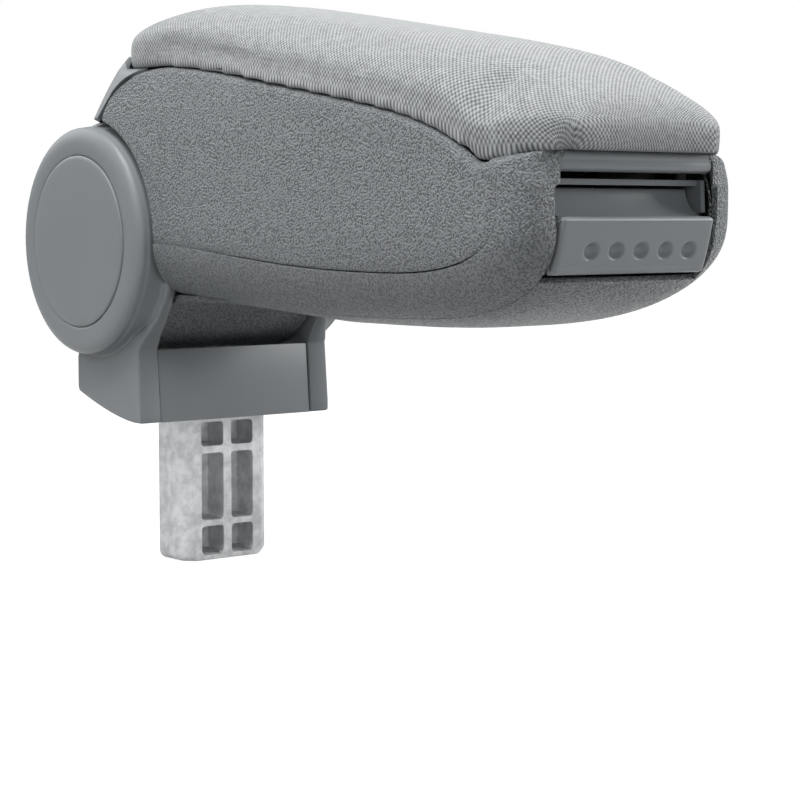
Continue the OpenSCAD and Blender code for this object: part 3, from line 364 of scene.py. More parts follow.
@dataclass(frozen=True)
class PlainMetal:
    """Plated or painted steel with fine drawing marks."""

    name: str
    colour: Colour
    metallic: float = 1.0
    rough: float = 0.35

    def build(self) -> bpy.types.Material:
        """Makes the material: noise drawn out along X, and soft blots."""
        b = Board(bpy.data.materials.new(self.name))
        at = b.place()
        drawn = b.noise(b.stretch(at, (0.1, 1.0, 1.0)), 0.4, 2)
        blot = b.noise(at, 6, 3)
        colour = b.blend(blot, scaled(self.colour, 0.9), scaled(self.colour, 1.08))
        rough = self.rough + (drawn - 0.5) * 0.18 + (blot - 0.5) * 0.08
        normal = b.bump(drawn, 0.01, 0.6)
        return b.finish({
            "Base Color": colour, "Metallic": self.metallic, "Roughness": rough, "Normal": normal})


@dataclass(frozen=True)
class PlainPlastic:
    """Fine-spark plastic or rubber for inner pieces."""

    name: str
    colour: Colour
    rough: float = 0.55

    def build(self) -> bpy.types.Material:
        """Makes the material from one fine noise."""
        b = Board(bpy.data.materials.new(self.name))
        spark = b.noise(b.place(), 0.5, 3, 0.6)
        colour = b.blend(spark, scaled(self.colour, 0.85), scaled(self.colour, 1.15))
        rough = self.rough + (spark - 0.5) * 0.15
        return b.finish({"Base Color": colour, "Roughness": rough, "Normal": b.bump(spark, 0.03, 0.6)})


FINISHES = (
    SmoothPlastic(),
    GrainedPlastic(),
    WovenFabric(),
    CastMetal(),
    PlainMetal(Slot.STEEL.value, grey(0.55, 0.56, 0.57)),
    PlainMetal(Slot.DARK_STEEL.value, grey(0.05, 0.05, 0.055), 0.6, 0.42),
    PlainPlastic(Slot.DARK.value, grey(0.03, 0.032, 0.035)),
    PlainPlastic(Slot.BEARING.value, grey(0.7, 0.69, 0.62), 0.5),
    PlainPlastic(Slot.RUBBER.value, grey(0.02, 0.02, 0.02), 0.75),
)


# Mesh tools


def grid_faces(rows: int, cols: int, wrap_rows: bool = False, wrap_cols: bool = False) -> list:
    """Quads of a grid whose points are stored row by row.

    Args:
        rows: number of rows.
        cols: number of points in a row.
        wrap_rows: joins the last row to the first.
        wrap_cols: joins each row's end to its start.

    Returns:
        The quads as a list of four indices each.
    """
    i = np.arange(rows if wrap_rows else rows - 1)[:, None]
    j = np.arange(cols if wrap_cols else cols - 1)[None, :]
    below, beside = (i + 1) % rows, (j + 1) % cols
    quads = np.stack([i * cols + j, below * cols + j, below * cols + beside, i * cols + beside], -1)
    return quads.reshape(-1, 4).tolist()


def end_faces(rows: int, cols: int) -> list:
    """The two faces that close a tube of rings stored row by row."""
    return [list(range(cols)), [(rows - 1) * cols + k for k in range(cols)][::-1]]


def weld(points: Array, quads: Array) -> tuple[Array, Array]:
    """Merges points that lie within a thousandth of a millimetre, and drops those no quad uses.

    Args:
        points: the points.
        quads: the faces.

    Returns:
        The points left, and the faces on them.
    """
    cells = np.round(points * 1000).astype(int)
    _, first, back = np.unique(cells, axis=0, return_index=True, return_inverse=True)
    used, quads = np.unique(back.ravel()[quads], return_inverse=True)
    return points[first][used], quads.reshape(-1, 4)


def thicken(points: Array, quads: Array, inside: Array, outer: float, inner: float) -> tuple[Array, list]:
    """Closes a sheet of quads into a wall.

    A point's normal is the sum of the cross products of the diagonals of the quads round it.
    The rim runs along the edges that only one quad has.

    Args:
        points: the sheet's points.
        quads: its faces.
        inside: a point for each of them on the inner side.
        outer: depth of the wall's outer face under the sheet.
        inner: depth of its inner face.

    Returns:
        Points and faces of the wall.
    """
    diagonals = points[quads[:, 2]] - points[quads[:, 0]], points[quads[:, 3]] - points[quads[:, 1]]
    n = np.zeros_like(points)
    np.add.at(n, quads.ravel(), np.repeat(np.cross(*diagonals), 4, axis=0))
    n /= np.maximum(np.linalg.norm(n, axis=1, keepdims=True), 1e-12)
    if np.median(np.sum(n * (points - inside), axis=1)) < 0:
        n, quads = -n, quads[:, ::-1]
    edges = np.concatenate([quads[:, [k, (k + 1) % 4]] for k in range(4)])
    edges = edges[edges[:, 0] != edges[:, 1]]
    count = len(points)
    single = edges[~np.isin(edges[:, 0] * count + edges[:, 1], edges[:, 1] * count + edges[:, 0])]
    rim = np.stack([single[:, 1], single[:, 0], single[:, 0] + count, single[:, 1] + count], -1)
    faces = [list(dict.fromkeys(f)) for f in np.concatenate([quads, quads[:, ::-1] + count, rim]).tolist()]
    return np.concatenate([points - n * outer, points - n * inner]), [f for f in faces if len(f) > 2]


def signed_volume(points: Array, faces: Sequence[Sequence[int]]) -> float:
    """Six times the volume inside a closed mesh, as the sum of its corner tetrahedra.

    Args:
        points: its points.
        faces: its faces.

    Returns:
        The volume, positive when the faces point outwards.
    """
    total = 0.0
    by_size: dict[int, list] = {}
    for face in faces:
        by_size.setdefault(len(face), []).append(face)
    for size, group in by_size.items():
        f = np.array(group)
        for k in range(1, size - 1):
            a, b, c = points[f[:, 0]], points[f[:, k]], points[f[:, k + 1]]
            total += float(np.sum(np.einsum("ij,ij->i", a, np.cross(b, c))))
    return total


def smooth_max(a: Array, b: Array, k: float) -> Array:
    """The larger of two heights, rounded over where they differ by less than k."""
    near = np.clip(k - np.abs(a - b), 0, None)
    return np.maximum(a, b) + near * near / (4 * k)


def smooth_step(s: Array) -> Array:
    """The cubic that rises from 0 to 1 with level ends."""
    return s * s * (3 - 2 * s)


def crowded(s: Array) -> Array:
    """Spacing on 0 to 1 that grows closer towards 1."""
    return 1 - (1 - s) ** 1.6


def halve(low: Array, high: Array, keep: Callable[[Array], Array]) -> tuple[Array, Array]:
    """Closes in on the place between two values where a test stops holding.

    Args:
        low: values where it holds.
        high: values where it doesn't.
        keep: the test, on values between them.

    Returns:
        The last values found where it holds, and where it doesn't.
    """
    for _ in range(HALVINGS):
        mid = (low + high) / 2
        holds = keep(mid)
        low, high = np.where(holds, mid, low), np.where(holds, high, mid)
    return low, high


def resample(path: Array, count: int, ease: Callable[[Array], Array] = lambda s: s) -> Array:
    """Points spread along a path by its own length.

    Args:
        path: the points of the path.
        count: how many points to give back.
        ease: maps even spacing on 0 to 1 to the spacing wanted.

    Returns:
        The new points.
    """
    run = np.concatenate([[0], np.cumsum(np.linalg.norm(np.diff(path, axis=0), axis=1))])
    at = ease(np.linspace(0, 1, count)) * run[-1]
    return np.stack([np.interp(at, run, path[:, k]) for k in range(path.shape[1])], -1)


def make_piece(
    name: str, points: Array, faces: list, body: Body, slot: Slot,
    replaces: Iterable[str] = (), bevel_mm: float = 0.0, bevel_angle: float = 40.0,
) -> bpy.types.Object:
    """Makes a closed piece from points in millimetres.

    Args:
        name: the piece's name.
        points: its vertices.
        faces: its faces, all wound the same way.
        body: the body it rides on.
        slot: the record's material slot, which also names its finish.
        replaces: CAD nodes that it stands for.
        bevel_mm: width of the rounding on its edges, or 0.
        bevel_angle: edges sharper than this many degrees are rounded.

    Returns:
        The object.
    """
    points = np.asarray(points, float).reshape(-1, 3)
    if signed_volume(points, faces) < 0:
        faces = [list(f)[::-1] for f in faces]
    mesh = bpy.data.meshes.new(name)
    mesh.from_pydata((points * MM).tolist(), [], faces)
    mesh.validate()
    mesh.polygons.foreach_set("use_smooth", np.full(len(mesh.polygons), True))
    mesh.materials.append(bpy.data.materials[slot.value])
    made = bpy.data.objects.new(name, mesh)
    bpy.context.scene.collection.objects.link(made)
    if bevel_mm > 0:
        rounding = made.modifiers.new("rounding", "BEVEL")
        rounding.width = bevel_mm * MM
        rounding.segments = 3
        rounding.limit_method = "ANGLE"
        rounding.angle_limit = math.radians(bevel_angle)
        rounding.use_clamp_overlap = True
    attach(made, body.value)
    if replaces:
        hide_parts(*replaces)
    LOG.info("%s: %d points, %d faces", name, len(points), len(faces))
    return made


def read_points(mesh: bpy.types.Mesh) -> Array:
    """A mesh's vertices as rows of three, in metres."""
    at = np.zeros(len(mesh.vertices) * 3)
    mesh.vertices.foreach_get("co", at)
    return at.reshape(-1, 3)


def mirrored(points: Array) -> Array:
    """The points on the other side of the middle plane."""
    return np.asarray(points) * np.array([-1.0, 1.0, 1.0])


def sides() -> tuple[tuple[str, float], tuple[str, float]]:
    """The two sides, with the sign of X on each."""
    return (("left", -1.0), ("right", 1.0))


def prism(
    profile: Array, half: float, round_mm: float, steps: int = 5, xs: Optional[Array] = None,
) -> tuple[Array, list]:
    """A closed profile carried along X, drawn in at both ends over a quarter circle.

    Args:
        profile: closed outline (y, z), either way round.
        half: half the length along X.
        round_mm: radius of the rounded ends.
        steps: rows in each rounding.
        xs: stations between the roundings, or None for two.

    Returns:
        Points and faces.
    """
    ahead, behind = np.roll(profile, -1, axis=0), np.roll(profile, 1, axis=0)
    along = ahead - behind
    along /= np.maximum(np.linalg.norm(along, axis=1, keepdims=True), 1e-9)
    inward = np.stack([-along[:, 1], along[:, 0]], -1)
    area = 0.5 * np.sum(profile[:, 0] * ahead[:, 1] - ahead[:, 0] * profile[:, 1])
    if area < 0:
        inward = -inward
    turn = np.linspace(0, math.pi / 2, steps + 1)
    flat = half - round_mm
    inner = np.linspace(-flat, flat, 2) if xs is None else xs
    x = np.concatenate([-flat - round_mm * np.cos(turn[:-1]), inner, flat + round_mm * np.sin(turn[1:])])
    depth = np.concatenate([
        round_mm * (1 - np.sin(turn[:-1])), np.zeros(len(inner)), round_mm * (1 - np.cos(turn[1:]))])
    rings = profile[None] + inward[None] * depth[:, None, None]
    points = np.concatenate([np.broadcast_to(x[:, None, None], rings.shape[:2] + (1,)), rings], -1)
    rows, cols = points.shape[:2]
    return points, grid_faces(rows, cols, wrap_cols=True) + end_faces(rows, cols)


def joined(parts: Sequence[tuple[Array, list]]) -> tuple[Array, list]:
    """Puts several closed forms into one list of points and one of faces."""
    points, faces, start = [], [], 0
    for part, rings in parts:
        points.append(part.reshape(-1, 3))
        faces += [[i + start for i in face] for face in rings]
        start += len(points[-1])
    return np.concatenate(points), faces


def arc(cy: float, cz: float, r: float, first: float, last: float, count: int) -> Array:
    """Points on a circle in the side view, between two angles in degrees."""
    a = np.radians(np.linspace(first, last, count))
    return np.stack([cy + r * np.cos(a), cz + r * np.sin(a)], -1)


# The arm's master surface


@dataclass
class ArmForm:
    """The arm's outer surface, the same as the solids', as half width over the side view."""

    half: float = 55.0
    reach: float = 284.0
    belt_z: float = 94.0
    belly: float = 47.5
    rise: float = 6.0
    rise_y: float = -150.0
    rise_run: float = 100.0
    side_h: float = 84.6
    power: float = 3.6
    plan_end: float = 280.0
    nose: float = 60.0
    nose_power: float = 8.0
    chin: float = 123.0
    lip: float = 4.0
    lip_under: float = 2.6
    axis_z: float = 77.2
    cut_r: float = 53.0
    lean: float = math.radians(47.7)
    rear_r: float = 30.0
    rear_low_r: float = 9.0
    rear_full_z: float = 130.0
    lid_z: float = 150.0
    lid_back: float = 15.2
    lid_nose_y: float = 190.2
    lid_nose: float = 98.0
    fall: float = 0.17
    fall_y: float = 54.0
    fall_ease: float = 20.0
    dip: float = 12.0
    dip_run: float = 200.0
    shoulder: float = 43.0
    shoulder_slope: float = 0.145

    @staticmethod
    def deep(s: Array, length: Array, p: float) -> Array:
        """The p-th root of 1 minus the p-th power of s over length."""
        return np.power(np.clip(1 - np.power(np.clip(s / length, 0, 1), p), 0, None), 1 / p)

    def depth(self, y: Array) -> Array:
        """Depth of the belly under the belt at a station: full behind, closing over the chin."""
        s = np.clip((-y - (self.reach - 1 - self.chin)) / self.chin, 0, 1)
        rise = self.rise * np.clip((y - self.rise_y) / self.rise_run, 0, 1)
        return np.maximum(1, (self.belly - rise) * np.power(np.clip(1 - s**4, 0, None), 0.4))

    def belt(self, y: Array) -> Array:
        """Half width at the belt, squared off at the nose."""
        s = np.clip((-y - (self.plan_end - self.nose)) / self.nose, 0, 0.99)
        return self.half * (1 - s**self.nose_power) ** (1 / self.nose_power)

    def wide(self, y: Array, z: Array) -> Array:
        """Half width of the skin without its lip; the nose draws back a little towards the lid."""
        above = np.minimum(z, self.lid_z - self.shoulder) - self.belt_z - 3
        draw = np.clip(above, 0, None) ** 2 / 44
        belt = self.belt(np.where(y < self.nose - self.plan_end, y - draw, y))
        up = self.flare(z - self.belt_z, self.side_h)
        down = self.flare(self.belt_z - z, self.depth(y))
        return belt * np.where(z > self.belt_z, up, down) - self.corner_in(y, z)

    def corner_in(self, y: Array, z: Array) -> Array:
        """How far the rear corner draws in at a place in the side view."""
        r = self.corner(z)
        d = np.clip(y - (self.rear(z) - r), 0, r)
        return r - np.sqrt(r * r - d * d)

    def lid_edge(self, y: Array) -> Array:
        """Half width of the lid's edge."""
        z = self.part(y) - self.lip
        nose = self.deep(-y - self.lid_nose_y, np.array(self.lid_nose), 4)
        up = self.flare(z - self.belt_z, self.side_h)
        return self.half * nose * up - self.corner_in(y + self.lid_back, z)

    @property
    def tangent_z(self) -> float:
        """Height where the leaning rear meets the drum's circle."""
        return self.axis_z + self.cut_r * math.sin(self.lean)

    def rear(self, z: Array) -> Array:
        """The leaning rear line."""
        return (self.cut_r - (z - self.axis_z) * math.sin(self.lean)) / math.cos(self.lean)

    def corner(self, z: Array) -> Array:
        """Radius of the rear corner seen from above."""
        f = np.clip((z - self.tangent_z) / (self.rear_full_z - self.tangent_z), 0, 1)
        return self.rear_low_r + (self.rear_r - self.rear_low_r) * f

    def flare(self, d: Array, h: Array) -> Array:
        """Share of the belt's width that is left d above or below it."""
        return np.power(np.clip(1 - np.power(np.clip(d / h, 0, 1), self.power), 0, None), 1 / self.power)

    def part(self, y: Array) -> Array:
        """Height of the parting line under the lid: it falls, dips over and ends in a shallow slope."""
        s = np.clip(-y - self.fall_y, 0, None)
        line = self.line(y) - self.dip * (s / self.dip_run) ** 10
        return np.maximum(line, self.lid_z - self.shoulder + self.shoulder_slope * (s - self.dip_run))

    def line(self, y: Array) -> Array:
        """The parting line before its shoulder."""
        s = np.clip(-y - self.fall_y, 0, None)
        return self.lid_z - self.fall * (np.sqrt(s * s + self.fall_ease**2) - self.fall_ease)

    def side(self, y: Array, z: Array) -> Array:
        """Half width at a place in the side view, with the lip that turns in under the lid."""
        top = self.part(y) - self.lip
        over = np.clip((z - top) / self.lip, 0, 1)
        reach = np.maximum(self.lip, self.wide(y, top) - self.lid_edge(y) + self.lip_under)
        run = np.where(y > self.nose - self.plan_end, self.lip, reach)
        return self.wide(y, np.minimum(z, top)) - run * (1 - np.sqrt(1 - over**2))

    def under(self, y: Array, x: Array) -> Array:
        """Height of the belly."""
        return self.belt_z - self.depth(y) * self.flare(np.abs(x), self.belt(y))


def coons(low: Array, high: Array, left: Array, right: Array, rows: Array) -> Array:
    """A patch between four edges: the two ruled surfaces added, less the bilinear one.

    Args:
        low: edge along u at the bottom.
        high: edge along u at the top.
        left: edge along v at the first u.
        right: edge along v at the last u.
        rows: the share of the height at each row.

    Returns:
        The grid, u along its first axis.
    """
    u = np.linspace(0, 1, len(low))[:, None, None]
    v = rows[None, :, None]
    ruled = (1 - v) * low[:, None] + v * high[:, None] + (1 - u) * left[None] + u * right[None]
    corners = (1 - u) * (1 - v) * low[0] + u * (1 - v) * low[-1] + (1 - u) * v * high[0] + u * v * high[-1]
    return ruled - corners


@dataclass
class ArmSkin:
    """The covers of the arm: two inset side panels, two shells round them, the belly and the rear cover.

    In the side view a line is given as (y, z) points, and g is how far outside the panel's own
    edge it runs.
    """

    form: ArmForm = field(default_factory=ArmForm)
    inset: float = 0.8
    wall: float = 2.5
    gap: float = 0.6
    edge: float = 0.9
    mouth: float = 39.0
    nose_end: float = -279.4
    shell_foot_z: float = 48.6
    groove_y: float = 202.0
    groove_z: float = 68.0
    groove_rise: float = 9.0
    groove_run: float = 150.0
    groove_meet: float = 8.5
    panel_reach: float = 265.6
    panel_power: float = 2.5
    front_z: float = 92.0
    lean_in: float = 6.0
    corner_mid: tuple = (-60.0, 126.0)
    corner_axes: tuple = (47.5, 24.0)
    corner_deg: tuple = (8.0, 40.0, 90.0)
    drum_deg: float = 104.2
    screw_x: float = 17.0
    screw_y: tuple = (-110.0, -205.0)
    screw_r: float = 5.0
    screw_wall: float = 0.9
    screw_z: float = 51.4
    belly_y: tuple = (-240.0, -62.0)
    chin_z: float = 65.5
    fillet: tuple = (-49.71, 38.5, 14.0)
    fillet_deg: tuple = (90.0, 37.9)
    hub_r: float = 49.0
    hub_deg: tuple = (217.9, 347.0)
    cover_low: float = 130.0
    cover_top: float = 157.0
    cover_split: float = 39.0
    cover_deg: float = -11.5
    cover_wall: float = 2.3
    cover_gap: float = 1.5
    cover_soft: float = 9.0
    cover_soft_run: float = 20.0
    slot: tuple = (17.4, 31.6, 141.4)
    pin: tuple = (-7.0, 146.0)
    lid_rear: float = -16.6
    lid_edge_in: float = 0.9
    lid_under_pin: float = 4.9
    swing_gap: float = 0.4
    deck: tuple = ((-19.5, 139.6), (3.0, 139.6), (1.0, 141.9), (-19.5, 141.9))
    deck_half: float = 36.0
    ear_x: tuple = (-33.0, -16.0, 16.0, 33.0)
    ear_r: float = 4.0
    ear_half: float = 1.5

    def groove(self, y: Array, g: float) -> Array:
        """Height of the panel's lower edge: a parabola that curls up where it meets the drum."""
        start = self.low_start(g)
        f = (y + self.groove_y) / (start[0] + self.groove_y)
        parabola = self.groove_z - g + self.groove_rise * ((y + self.groove_y) / self.groove_run) ** 2
        return parabola * (1 - f**3) + start[1] * f**3

    def front(self, angle: Array, g: float) -> Array:
        """The panel's lower front edge on rays from its centre, a superellipse."""
        a, b = self.panel_reach + g - self.groove_y, self.front_z - self.groove_z + g
        p = self.panel_power
        ray = 1 / (np.abs(np.cos(angle) / a) ** p + np.abs(np.sin(angle) / b) ** p) ** (1 / p)
        return np.stack([-self.groove_y + ray * np.cos(angle), self.front_z + ray * np.sin(angle)], -1)

    def front_line(self, g: float, rise: Array) -> Array:
        """The panel's front edge from its widest place up to the parting line, by the share of the height."""
        y = -(self.panel_reach + g - self.lean_in)
        top = float(self.form.part(np.array(y)))
        return np.stack([y - self.lean_in * (1 - rise**1.7), self.front_z + (top - self.front_z) * rise], -1)

    def low_start(self, g: float) -> Array:
        """Where the groove meets the drum's circle."""
        r = self.form.cut_r - g
        a = math.pi - math.asin((self.groove_z + self.groove_meet - self.form.axis_z) / r)
        return np.array([r * math.cos(a), self.form.axis_z + r * math.sin(a)])

    def corner_arc(self, first: float, last: float, count: int) -> Array:
        """The long curve at the panel's upper rear corner, an ellipse between two angles in degrees."""
        a = np.radians(np.linspace(first, last, count))
        (y, z), (run, rise) = self.corner_mid, self.corner_axes
        return np.stack([y + run * np.cos(a), z + rise * np.sin(a)], -1)

    def drum_angle(self, place: Array) -> float:
        """Angle of a place in the side view round the drum's axis, in degrees."""
        return math.degrees(math.atan2(place[1] - self.form.axis_z, place[0])) % 360

    def panel_grid(self, nu: int = 120, nv: int = 40) -> Array:
        """The panel's patch in the side view, its rows closer together towards the lid.

        Args:
            nu: columns along the arm.
            nv: rows up the side.

        Returns:
            The patch's (y, z) grid.
        """
        f = self.form
        start = self.low_start(0)
        corner_low, corner_split, corner_high = self.corner_deg
        drum = arc(0, f.axis_z, f.cut_r, self.drum_angle(start), self.drum_deg, 60)
        rear = np.concatenate([drum, self.corner_arc(corner_low, corner_split, 20)[1:]])
        left = resample(rear, nv, crowded)
        y = np.linspace(start[0], -self.groove_y, 100)
        below = self.front(np.radians(np.linspace(270, 225, 40)), 0)
        ahead = self.front(np.radians(np.linspace(225, 180, 40)), 0)
        low = np.concatenate([np.stack([y, self.groove(y, 0)], -1), below[1:]])
        front = np.concatenate([ahead, self.front_line(0, np.linspace(0, 1, 30))[1:]])
        over = self.corner_arc(corner_split, corner_high, 30)
        y = np.linspace(over[-1, 0], front[-1, 0], 160)[1:]
        high = np.concatenate([over, np.stack([y, f.part(y)], -1)])
        high[:, 1] = np.minimum(high[:, 1], f.part(high[:, 0]))
        right = resample(front, nv, crowded)
        return coons(resample(low, nu), resample(high, nu), left, right, crowded(np.linspace(0, 1, nv)))

    def mouth_height(self, y: Array) -> Array:
        """Height of the shell's lower edge, where the skin is as wide as the mouth."""
        belly = self.form.belt_z - self.form.depth(y)
        belt = np.full_like(y, self.form.belt_z)
        return halve(belly, belt, lambda z: ~(self.form.wide(y, z) > self.mouth))[1]

    def mouth_ray(self, angle: Array) -> Array:
        """The shell's front edge on the panel's rays.

        Args:
            angle: the rays' angles.

        Returns:
            For each ray the last (y, z) where the skin is wider than the mouth, behind the nose's end.
        """
        c, s = np.cos(angle), np.sin(angle)

        def on_shell(ray: Array) -> Array:
            """Whether the place that far along each ray is on the shell."""
            y, z = -self.groove_y + ray * c, self.front_z + ray * s
            low = self.form.belt_z - self.form.depth(y)
            return (y > self.nose_end) & (z > low) & (self.form.wide(y, np.maximum(z, low)) > self.mouth)

        ray = halve(np.full_like(angle, 10.0), np.full_like(angle, 90.0), on_shell)[0]
        return np.stack([-self.groove_y + ray * c, self.front_z + ray * s], -1)

    def shell_grid(self, rear: int = 80, front: int = 70, top: int = 30, nv: int = 30) -> Array:
        """The shell's patch in the side view, from the mouth's edge to the groove.

        Its columns first follow the drum's circle, then stand upright, then turn with the
        panel's rays and last run along the parting line.

        Args:
            rear: columns from the drum to the panel's centre.
            front: columns that turn with the rays.
            top: columns up the nose's flat end.
            nv: rows.

        Returns:
            The patch's (y, z) grid.
        """
        f = self.form
        foot = -math.sqrt(f.cut_r**2 - (self.shell_foot_z - f.axis_z) ** 2)
        start = self.low_start(self.gap)
        s = np.linspace(0, 1, rear)
        y0, y1 = foot + (-self.groove_y - foot) * s, start[0] + (-self.groove_y - start[0]) * s
        rays = np.radians(np.linspace(270, 180, front))[1:]
        rise = crowded(np.linspace(0, 1, top))
        end_z = float(f.part(np.array(self.nose_end)))
        nose_z = self.front_z + (end_z - self.front_z) * rise[1:]
        low = np.concatenate([
            np.stack([y0, self.mouth_height(y0)], -1), self.mouth_ray(rays),
            np.stack([np.full(top - 1, self.nose_end), nose_z], -1)])
        high = np.concatenate([
            np.stack([y1, self.groove(y1, self.gap)], -1), self.front(rays, self.gap),
            self.front_line(self.gap, rise)[1:]])
        share = np.concatenate([np.zeros(rear), np.linspace(0, 1, front)[1:], np.ones(top - 1)])[:, None]
        v = np.linspace(0, 1, nv)[None] ** (1 + share)
        flat = low[:, None] * (1 - v[..., None]) + high[:, None] * v[..., None]
        bulge = arc(0, f.axis_z, f.cut_r, self.drum_angle(low[0]), self.drum_angle(high[0]), nv) - flat[0]
        flat[:rear] += bulge[None] * ((1 - s) ** 4)[:, None, None]
        last = np.stack([flat[-1, :, 0], f.part(flat[-1, :, 0])], -1) - flat[-1]
        flat[-top:] += last[None] * (rise**3)[:, None, None]
        return flat

    def build_side(self, word: str, sign: float) -> None:
        """Makes one side's panel and shell: patches put on the master surface, the panel set in under it.

        Args:
            word: the side's name.
            sign: the sign of X there.
        """
        kinds = (("panel", self.panel_grid(), self.inset), ("shell", self.shell_grid(), 0.0))
        for kind, flat, depth in kinds:
            y, z = flat[..., 0].ravel(), flat[..., 1].ravel()
            sheet = np.stack([self.form.side(y, z), y, z], -1)
            middle = np.full_like(z, self.form.belt_z)
            inside = np.stack([np.zeros_like(y), np.clip(y, -230, -60), middle], -1)
            quads = np.array(grid_faces(*flat.shape[:2]))
            points, faces = thicken(sheet, quads, inside, depth, depth + self.wall)
            make_piece(f"side_{kind}_{word}_skin", points * np.array([sign, 1, 1]), faces, Body.ARM,
                       Slot.GRAINED, (f"side_{kind}_{word}",), self.edge)

    def belly_column(self, x: float, start: float, ys: Array) -> Array:
        """One lengthwise line of the belly, from the chin's edge back to the fillet.

        Args:
            x: the line's X.
            start: Y of the chin's edge on it.
            ys: stations of its straight stretch, closer together round the screws.

        Returns:
            Its (y, z) points, pressed in to a flat seat round each screw.
        """
        f = self.form
        yy = np.linspace(start, self.belly_y[0], 90)
        front = resample(np.stack([yy, f.under(yy, np.full_like(yy, x))], -1), 34)[:-1]
        middle = f.under(ys, np.zeros_like(ys))
        lift = f.under(ys, np.full_like(ys, x)) - middle
        main = np.stack([ys, middle + lift * np.clip((-ys - 55) / 30, 0, 1)], -1)
        screws = [(sx * self.screw_x, sy) for sx in (-1, 1) for sy in self.screw_y]
        far = np.min([np.hypot(x - sx, ys - sy) for sx, sy in screws], axis=0)
        pressed = np.clip((self.screw_r - far) / self.screw_wall, 0, 1)
        main[:, 1] += pressed * np.clip(self.screw_z - main[:, 1], 0, None)
        return np.concatenate([front, main])

    def build_belly(self) -> None:
        """Makes the belly, its chin, the hollow fillet and the hub in one sheet.

        Each column keeps its X and runs from the chin's edge back along the belly,
        over the fillet and round the hub.
        """
        f = self.form
        half = self.mouth - 0.4
        near = np.array([-5, -4.4, -3.9, -3.4, -2.5, 0, 2.5, 3.4, 3.9, 4.4, 5])
        xs = np.concatenate([np.linspace(-half, half, 53), self.screw_x + near, -self.screw_x + near])
        ys = np.concatenate([np.linspace(*self.belly_y, 60), *(at + near for at in self.screw_y)])
        xs, ys = np.unique(np.round(xs, 3)), np.unique(np.round(ys, 3))
        ahead, behind = np.full_like(xs, -283.0), np.full_like(xs, -200.0)
        starts = halve(ahead, behind, lambda y: f.under(y, xs) > self.chin_z)[1]
        fillet = arc(*self.fillet, *self.fillet_deg, 12)
        hub = arc(0, f.axis_z, self.hub_r, *self.hub_deg, 56)[1:]
        fronts = [self.belly_column(x, start, ys) for x, start in zip(xs, starts)]
        columns = [np.concatenate([part, fillet, hub]) for part in fronts]
        flat = np.stack(columns, 1)
        grid = np.concatenate([np.broadcast_to(xs[None, :, None], flat.shape[:2] + (1,)), flat], -1)
        sheet = grid.reshape(-1, 3)
        inside = np.stack([0 * sheet[:, 0], np.clip(sheet[:, 1], -230, 0), np.full(len(sheet), 80.0)], -1)
        points, faces = thicken(sheet, np.array(grid_faces(*grid.shape[:2])), inside, 0.0, self.wall)
        make_piece("belly_skin", points, faces, Body.ARM, Slot.GRAINED, ("belly_shell",), self.edge)

    def cover_place(self, q: Array, z: Array) -> Array:
        """Points of the rear cover, a leaning wall with two round corners.

        Behind the lid the cover goes straight up; beside the lid its lip turns in.

        Args:
            q: runs from the middle round the corner.
            z: heights.

        Returns:
            The (x, y, z) points.
        """
        f = self.form
        w = f.half * f.flare(z - f.belt_z, f.side_h)
        yr = f.rear(z)
        rising = np.clip((z - f.tangent_z) / (f.rear_full_z - f.tangent_z), 0, 1)
        easing = 1 - np.clip((z - f.rear_full_z) / self.cover_soft_run, 0, 1)
        r = f.corner(z) + self.cover_soft * rising * easing
        turn = np.clip((q - (w - r)) / r, 0, math.pi / 2)
        along = np.clip(q - (w - r) - r * math.pi / 2, 0, None)
        over = np.clip(z - f.lid_z + f.lip, 0, f.lip)
        beside = np.clip((-23 - (yr - r + r * np.cos(turn) - along)) / 8, 0, 1)
        tuck = (f.lip - np.sqrt(f.lip**2 - over**2)) * smooth_step(beside)
        x = np.where(q < w - r, q, w - r + (r - tuck) * np.sin(turn))
        return np.stack([x, yr - r + (r - tuck) * np.cos(turn) - along, z], -1)

    def cover_limit(self, q: Array, high: bool) -> Array:
        """Top or lower edge of the rear cover.

        The top keeps inside the barrel that the lid's rear edge sweeps round its pin and
        falls to the parting line beside the lid; the lower edge follows the panel's corner.

        Args:
            q: runs from the middle round the corner.
            high: whether the top is asked for.

        Returns:
            Its height on each run.
        """
        f = self.form
        rim = np.linspace(self.lid_rear, -60, 60)
        rim_x = f.lid_edge(rim) - self.lid_edge_in
        swing = np.hypot(rim - self.lid_edge_in - self.pin[0], self.lid_under_pin) - self.swing_gap
        level = f.lid_z - 0.1
        low, top = (level, self.cover_top) if high else (self.cover_low, level)

        def under_lid(z: Array) -> Array:
            """Whether the cover at that height is clear of the lid's swing."""
            x, y, z = self.cover_place(q, z).T
            near = np.hypot(y - self.pin[0], z - self.pin[1]) < np.interp(x, rim_x, swing)
            return near & (z < level + (self.cover_top - level) * np.clip((y + 27) / 7, 0, 1))

        def in_corner(z: Array) -> Array:
            """Whether that height is still inside the panel's corner curve."""
            _, y, z = self.cover_place(q, z).T
            (cy, cz), (run, rise) = self.corner_mid, self.corner_axes
            return ((y - cy) / (run + self.cover_gap)) ** 2 + ((z - cz) / (rise + self.cover_gap)) ** 2 < 1

        a, b = halve(np.full_like(q, low), np.full_like(q, top), under_lid if high else in_corner)
        return np.where(b - low < 0.01, low, a)

